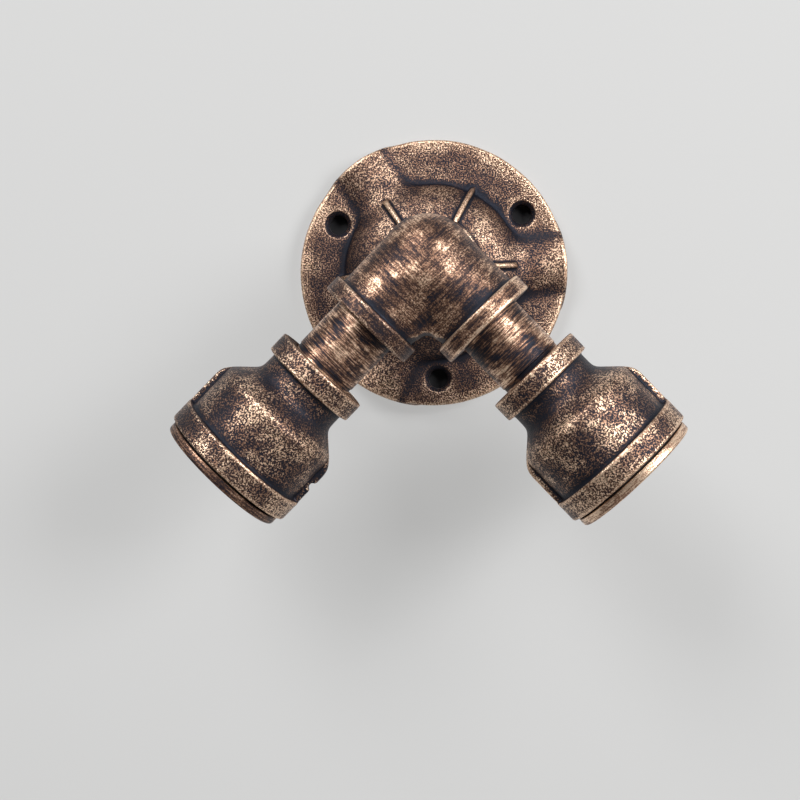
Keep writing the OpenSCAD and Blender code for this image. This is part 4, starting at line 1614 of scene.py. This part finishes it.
@dataclass
class Wiring:
    """Leads in the arms and behind the flange, and the sleeve on the swivel's axis."""

    sleeve_radius: float = 4.6
    sleeve_back: float = 8.4
    sleeve_front: float = 44.4
    core_inset: float = 0.28
    strands: int = 16
    strand_points: int = 150
    strand_half: tuple[float, float] = (0.16, 0.5)
    lift: float = 0.14
    weave: float = 0.13
    pitch: float = 26.0

    def tube(self, node: str, finish: MouldedPlastic) -> bpy.types.Object:
        """Round a lead's facets off into a smooth tube.

        Args:
            node: The lead's node.
            finish: Its insulation.

        Returns:
            The tube.
        """
        piece = copied(node, f"{node}_tube", finish.material())
        with reworked(piece.data, 0.001) as whole:
            bmesh.ops.join_triangles(whole, faces=whole.faces, angle_face_threshold=0.7,
                                     angle_shape_threshold=0.7)
        modifier = piece.modifiers.new("round", "SUBSURF")
        modifier.levels = 2
        applied(piece, modifier)
        return stand_for(piece, node)

    def sleeve(self, finish: BraidedGlass) -> bpy.types.Object:
        """Braid the sleeve from strands that run round it both ways.

        Args:
            finish: Its yarn.

        Returns:
            The sleeve.
        """
        net = ShapeNet("lead_sleeve_form")
        length = self.sleeve_front - self.sleeve_back
        radius = net.size("Radius", self.sleeve_radius - self.core_inset)
        core = net.add("GeometryNodeMeshCylinder", {"fill_type": "TRIANGLE_FAN"}, {
            "Vertices": 48, "Side Segments": 24, "Radius": radius, "Depth": length - 0.1})
        moved = net.add("GeometryNodeTransform", {}, {
            "Geometry": net.out(core, "Mesh"),
            "Translation": (0.0, 0.0, self.sleeve_back + length * 0.5)})
        joined = net.add("GeometryNodeJoinGeometry")
        strands = [self._strands(net, radius, length, way) for way in (-1.0, 1.0)]
        for part in [net.out(moved)] + strands:
            net.tree.links.new(part.socket, joined.inputs[0])
        piece = net.build("lead_sleeve_braid", net.out(joined), finish.material(), wall_place())
        return stand_for(piece, "lead_sleeve")

    def _strands(self, net: ShapeNet, radius: Wire, length: float, way: float) -> Wire:
        """Strands that turn one way round the sleeve.

        Args:
            net: The sleeve's tree.
            radius: Radius of the core.
            length: Length of the sleeve.
            way: 1 or -1 for the way they turn.

        Returns:
            The strands.
        """
        line = net.add("GeometryNodeCurvePrimitiveLine", {}, {
            "Start": (0.0, 0.0, 0.0), "End": (0.0, 0.0, length)})
        points = net.add("GeometryNodeResampleCurve", {}, {
            "Curve": net.out(line), "Count": self.strand_points})
        height = net.split(net.place())[2]
        crossing = net.math("SINE", height * (math.tau * self.strands / self.pitch)) * self.weave
        turn = height * (way * math.tau / self.pitch)
        out = radius + self.lift + crossing * way
        spot = net.add("ShaderNodeCombineXYZ", {}, {
            0: out * net.math("COSINE", turn),
            1: out * net.math("SINE", turn),
            2: height + self.sleeve_back})
        bent = net.add("GeometryNodeSetPosition", {}, {
            "Geometry": net.out(points), "Position": net.out(spot)})
        yarn = net.add("GeometryNodeCurvePrimitiveCircle", {}, {"Resolution": 5, "Radius": 1.0})
        flat = net.add("GeometryNodeTransform", {}, {
            "Geometry": net.out(yarn), "Scale": (*self.strand_half, 1.0)})
        strand = net.add("GeometryNodeCurveToMesh", {}, {
            "Curve": net.out(bent), "Profile Curve": net.out(flat), "Fill Caps": True})
        ring = net.add("GeometryNodePoints", {}, {"Count": self.strands})
        copies = net.add("GeometryNodeInstanceOnPoints", {}, {
            "Points": net.out(ring), "Instance": net.out(strand)})
        index = net.out(net.add("GeometryNodeInputIndex"))
        twist = net.add("ShaderNodeCombineXYZ", {}, {2: index * (math.tau / self.strands)})
        return net.out(net.add("GeometryNodeRotateInstances", {}, {
            "Instances": net.out(copies), "Rotation": net.out(twist)}))

    def build(self, live: MouldedPlastic, neutral: MouldedPlastic,
              glass: BraidedGlass) -> list[bpy.types.Object]:
        """Make the wiring.

        Args:
            live: Finish of the live leads.
            neutral: Finish of the neutral leads.
            glass: Finish of the sleeve.

        Returns:
            Its pieces.
        """
        leads = [self.tube(f"{side.word}_live_lead", live) for side in Side]
        leads += [self.tube(f"{side.word}_neutral_lead", neutral) for side in Side]
        leads += [self.tube("rear_live_leads", live), self.tube("rear_neutral_leads", neutral)]
        return leads + [self.sleeve(glass)]


@dataclass
class WallSide:
    """What sits behind and inside the flange: nipple, bush, terminal block and earth terminal."""

    pipe: Pipe = Pipe()
    back: float = 9.6
    front: float = 38.7
    shown: tuple[float, float] = (22.6, 27.6)
    chamfer: float = 0.4

    def nipple(self, finish: AntiqueBronze) -> bpy.types.Object:
        """Turn the short nipple between the hub and the elbow.

        Args:
            finish: Its bronze.

        Returns:
            The nipple.
        """
        bore, thread = self.pipe.bore, self.pipe.thread_radius
        low, high = self.shown
        points = [(bore, self.back + self.chamfer), (bore + self.chamfer, self.back),
                  (thread, self.back), (thread, low - 0.2)]
        points += self.pipe.scratched(5, low, high, 24)
        points += [(thread, high + 0.2), (thread, self.front), (bore + self.chamfer, self.front),
                   (bore, self.front - self.chamfer)]
        return lathed("rear_nipple", "pipe", lambda angle: points, 96, finish, wall_place())

    def build(self, bronze: AntiqueBronze, black: MouldedPlastic, nylon: MouldedPlastic,
              brass: WornMetal, steel: WornMetal) -> list[bpy.types.Object]:
        """Make the pieces.

        Args:
            bronze: Finish of the nipple.
            black: Finish of the bush.
            nylon: Finish of the terminal block.
            brass: Finish of the barrels and the earth washer.
            steel: Finish of the screws.

        Returns:
            The pieces.
        """
        small = (("rear_bush", black, 0.2, 3), ("terminal_block", nylon, 0.25, 3),
                 ("terminal_barrels", brass, 0.12, 2), ("terminal_clamp_screws", steel, 0.08, 2),
                 ("terminal_block_screw", steel, 0.12, 2), ("earth_screw", steel, 0.2, 2),
                 ("earth_washer", brass, 0.12, 2))
        return [self.nipple(bronze)] + [softened(*item) for item in small]


@dataclass
class Studio:
    """Pale wall and floor, dark discs of painted shadow behind the screw holes, plain soft lamps and the
    camera. Lengths are in metres, save plug_mm.
    """

    lens: float = 71.6
    spot: Point = (0.0172, -0.5382232, -0.0382775)
    tilt: float = 89.526
    pan: float = 3.022
    aim: Point = (0.0, -0.04, -0.02)
    wall_gap: float = 0.0004
    wall_reach: float = 1.6
    floor_drop: float = 0.6
    floor_reach: float = 60.0
    # Radius and colour of the dark discs that stand for shade in the screw holes.
    plug_mm: float = 4.2
    plug: Colour = (0.012, 0.012, 0.014)
    paint: Colour = (0.2, 0.2, 0.2)
    bounced: Colour = (0.1, 0.1, 0.1)
    wall_glow: Colour = (0.42, 0.42, 0.415)
    floor_glow: Colour = (0.1, 0.1, 0.1)
    air_tint: Colour = (0.92, 0.93, 0.95)
    air: float = 0.14
    lamps: tuple[tuple[str, Point, float, float], ...] = (
        ("left_lamp", (-0.42, -0.8, 0.68), 0.5, 11.5),
        ("right_lamp", (0.75, -0.75, 0.25), 0.45, 12.5),
        ("rear_lamp", (0.4, 0.9, 0.5), 0.8, 8.0))

    def camera(self) -> None:
        """Place the camera where the photograph was taken from."""
        data = bpy.data.cameras.new("camera")
        data.lens = self.lens
        data.sensor_width = 36.0
        data.clip_start = 0.01
        data.clip_end = 50.0
        camera = linked("camera", data)
        camera.location = self.spot
        camera.rotation_euler = (math.radians(self.tilt), 0.0, math.radians(self.pan))
        bpy.context.scene.camera = camera

    def lamp(self, name: str, spot: Point, size: float, watts: float) -> None:
        """Add a square soft lamp that points to the wall lamp's middle.

        Args:
            name: Its name.
            spot: Its place in metres.
            size: Length of its side in metres.
            watts: Its power.
        """
        data = bpy.data.lights.new(name, "AREA")
        data.size = size
        data.energy = watts
        light = linked(name, data)
        light.location = spot
        light.rotation_euler = (Vector(self.aim) - Vector(spot)).to_track_quat("-Z", "Y").to_euler()

    def sheet(self, name: str, corners: Sequence[Point], material: bpy.types.Material) -> None:
        """Add a flat backdrop.

        Args:
            name: Its name.
            corners: Its corners in metres.
            material: Its paint.
        """
        mesh = bpy.data.meshes.new(name)
        mesh.from_pydata(corners, [], [tuple(range(len(corners)))])
        mesh.materials.append(material)
        linked(name, mesh)

    def plugs(self) -> None:
        """Put dark discs behind the flange's screw holes, as painted shadow seen through them."""
        net = ShaderNet("wall_plug")
        net.dress({"Base Color": (*self.plug, 1.0), "Roughness": 0.8})
        material = self._one_sided(net)
        holes = WallFlange()
        spots = arc((0.0, 0.0), holes.hole_ring, holes.first_hole, holes.first_hole + 240.0, 2)
        for number, spot in enumerate(spots, 1):
            rim = arc(spot, self.plug_mm, 0.0, 345.0, 23)
            corners = [(x * MM, self.wall_gap * 0.5, z * MM) for x, z in rim]
            self.sheet(f"wall_plug_{number}", corners, material)

    def paint_of(self, glow: Colour) -> ShaderNet:
        """Mix matt pale paint that camera, mirror and glass rays see brighter than it lights the lamp.

        Args:
            glow: What those rays see beside the lit paint.

        Returns:
            The paint's tree.
        """
        net = ShaderNet("backdrop_paint")
        path = net.add("ShaderNodeLightPath")
        kinds = ("Camera", "Glossy", "Transmission")
        seen = sum((net.out(path, f"Is {kind} Ray") for kind in kinds), 0.0).at_most(1.0)
        net.dress({
            "Base Color": net.mixed(seen, self.bounced, self.paint),
            "Emission Color": net.mixed(seen, BLACK, glow),
            "Emission Strength": 1.0,
            "Roughness": 0.9,
            "Specular IOR Level": 0.1})
        return net

    @staticmethod
    def _one_sided(net: ShaderNet) -> bpy.types.Material:
        """Make a backdrop's material clear from behind and to shadow rays.

        Args:
            net: The material's tree.

        Returns:
            The material.
        """
        behind = net.out(net.add("ShaderNodeNewGeometry"), "Backfacing")
        hidden = behind.at_least(net.out(net.add("ShaderNodeLightPath"), "Is Shadow Ray"))
        clear = net.add("ShaderNodeBsdfTransparent")
        mix = net.add("ShaderNodeMixShader", {}, {0: hidden, 1: net.out(net.shader), 2: net.out(clear)})
        net.fill(net.end, {"Surface": net.out(mix)})
        return net.material

    def build(self) -> None:
        """Set up the whole studio."""
        self.camera()
        corners = ((-1, -1), (1, -1), (1, 1), (-1, 1))
        wall = [(a * self.wall_reach, self.wall_gap, b * self.wall_reach) for a, b in corners]
        self.sheet("wall_backdrop", wall, self._one_sided(self.paint_of(self.wall_glow)))
        floor = [(a * self.floor_reach, b * self.floor_reach, -self.floor_drop) for a, b in corners]
        self.sheet("floor", floor, self.paint_of(self.floor_glow).material)
        self.plugs()
        for lamp in self.lamps:
            self.lamp(*lamp)
        world = bpy.data.worlds.new("studio_air")
        world.use_nodes = True
        background = world.node_tree.nodes["Background"]
        background.inputs["Color"].default_value = (*self.air_tint, 1.0)
        background.inputs["Strength"].default_value = self.air
        bpy.context.scene.world = world
        bpy.context.scene.view_settings.view_transform = "Standard"


def report(pieces: Sequence[bpy.types.Object]) -> None:
    """Log each piece with its size."""
    for piece in pieces:
        sides = [round(side / MM, 1) for side in piece.dimensions]
        LOG.info("%s: %d faces, %s mm", piece.name, len(piece.data.polygons), sides)


def main() -> None:
    """Build the studio and every piece of the lamp."""
    logging.basicConfig(level=logging.INFO, format="%(name)s %(message)s")
    Studio().build()
    report(WallFlange().build(AntiqueBronze(
        "flange_bronze", base=0.04, grain=0.7, grain_mm=0.46, patch=0.18, crest_gain=0.2)))
    report(Elbow().build(AntiqueBronze(
        "elbow_bronze", base=0.22, grain=0.34, patch=0.4, streak=0.4, relief_mm=0.14)))
    cast = AntiqueBronze("cast_bronze", base=0.0, grain=0.82)
    brass = WornMetal("brass", (0.8, 0.56, 0.25), (0.36, 0.2, 0.09))
    steel = WornMetal("zinc_steel", (0.62, 0.64, 0.67), (0.36, 0.36, 0.37))
    fibre = MouldedPlastic("fibre", (0.02, 0.018, 0.017), (0.045, 0.038, 0.035), 0.7)
    # The left end ring's bronze starts darker than the right's, as painted shade on one side.
    ring_base_lit_and_shaded = {Side.LEFT: -0.06, Side.RIGHT: 0.34}
    for side in Side:
        arm, along = Arm(side), tuple(arm_axis(side))
        pipe = AntiqueBronze("pipe_bronze", base=0.38, grain=0.2, patch=0.6, streak=0.6,
                             streak_axis=along, relief_mm=0.1)
        ring = AntiqueBronze("ring_bronze", base=ring_base_lit_and_shaded[side], grain=0.2, patch=0.16, streak=0.4,
                             streak_axis=along, relief_mm=0.08)
        report([arm.nipple(pipe), arm.reducer(cast)])
        report(EndRing(side).build(ring, fibre))
        report(LampHolder(side).build(GlazedPorcelain("porcelain"), brass, steel))
    black = MouldedPlastic("black_plastic", (0.012, 0.012, 0.013), (0.03, 0.03, 0.032))
    nylon = MouldedPlastic("block_plastic", (0.74, 0.71, 0.62), (0.64, 0.6, 0.5), 0.5)
    live = MouldedPlastic("live_insulation", (0.16, 0.055, 0.022), (0.22, 0.085, 0.035), 0.4)
    neutral = MouldedPlastic("neutral_insulation", (0.014, 0.045, 0.2), (0.025, 0.07, 0.27), 0.4)
    rear_pipe = AntiqueBronze("rear_pipe_bronze", base=0.2, grain=0.16, streak=0.5,
                              streak_axis=(0.0, 1.0, 0.0), relief_mm=0.1)
    report(WallSide().build(rear_pipe, black, nylon, brass, steel))
    report(Wiring().build(live, neutral, BraidedGlass("glass_sleeve")))


if __name__ == "__main__":
    main()
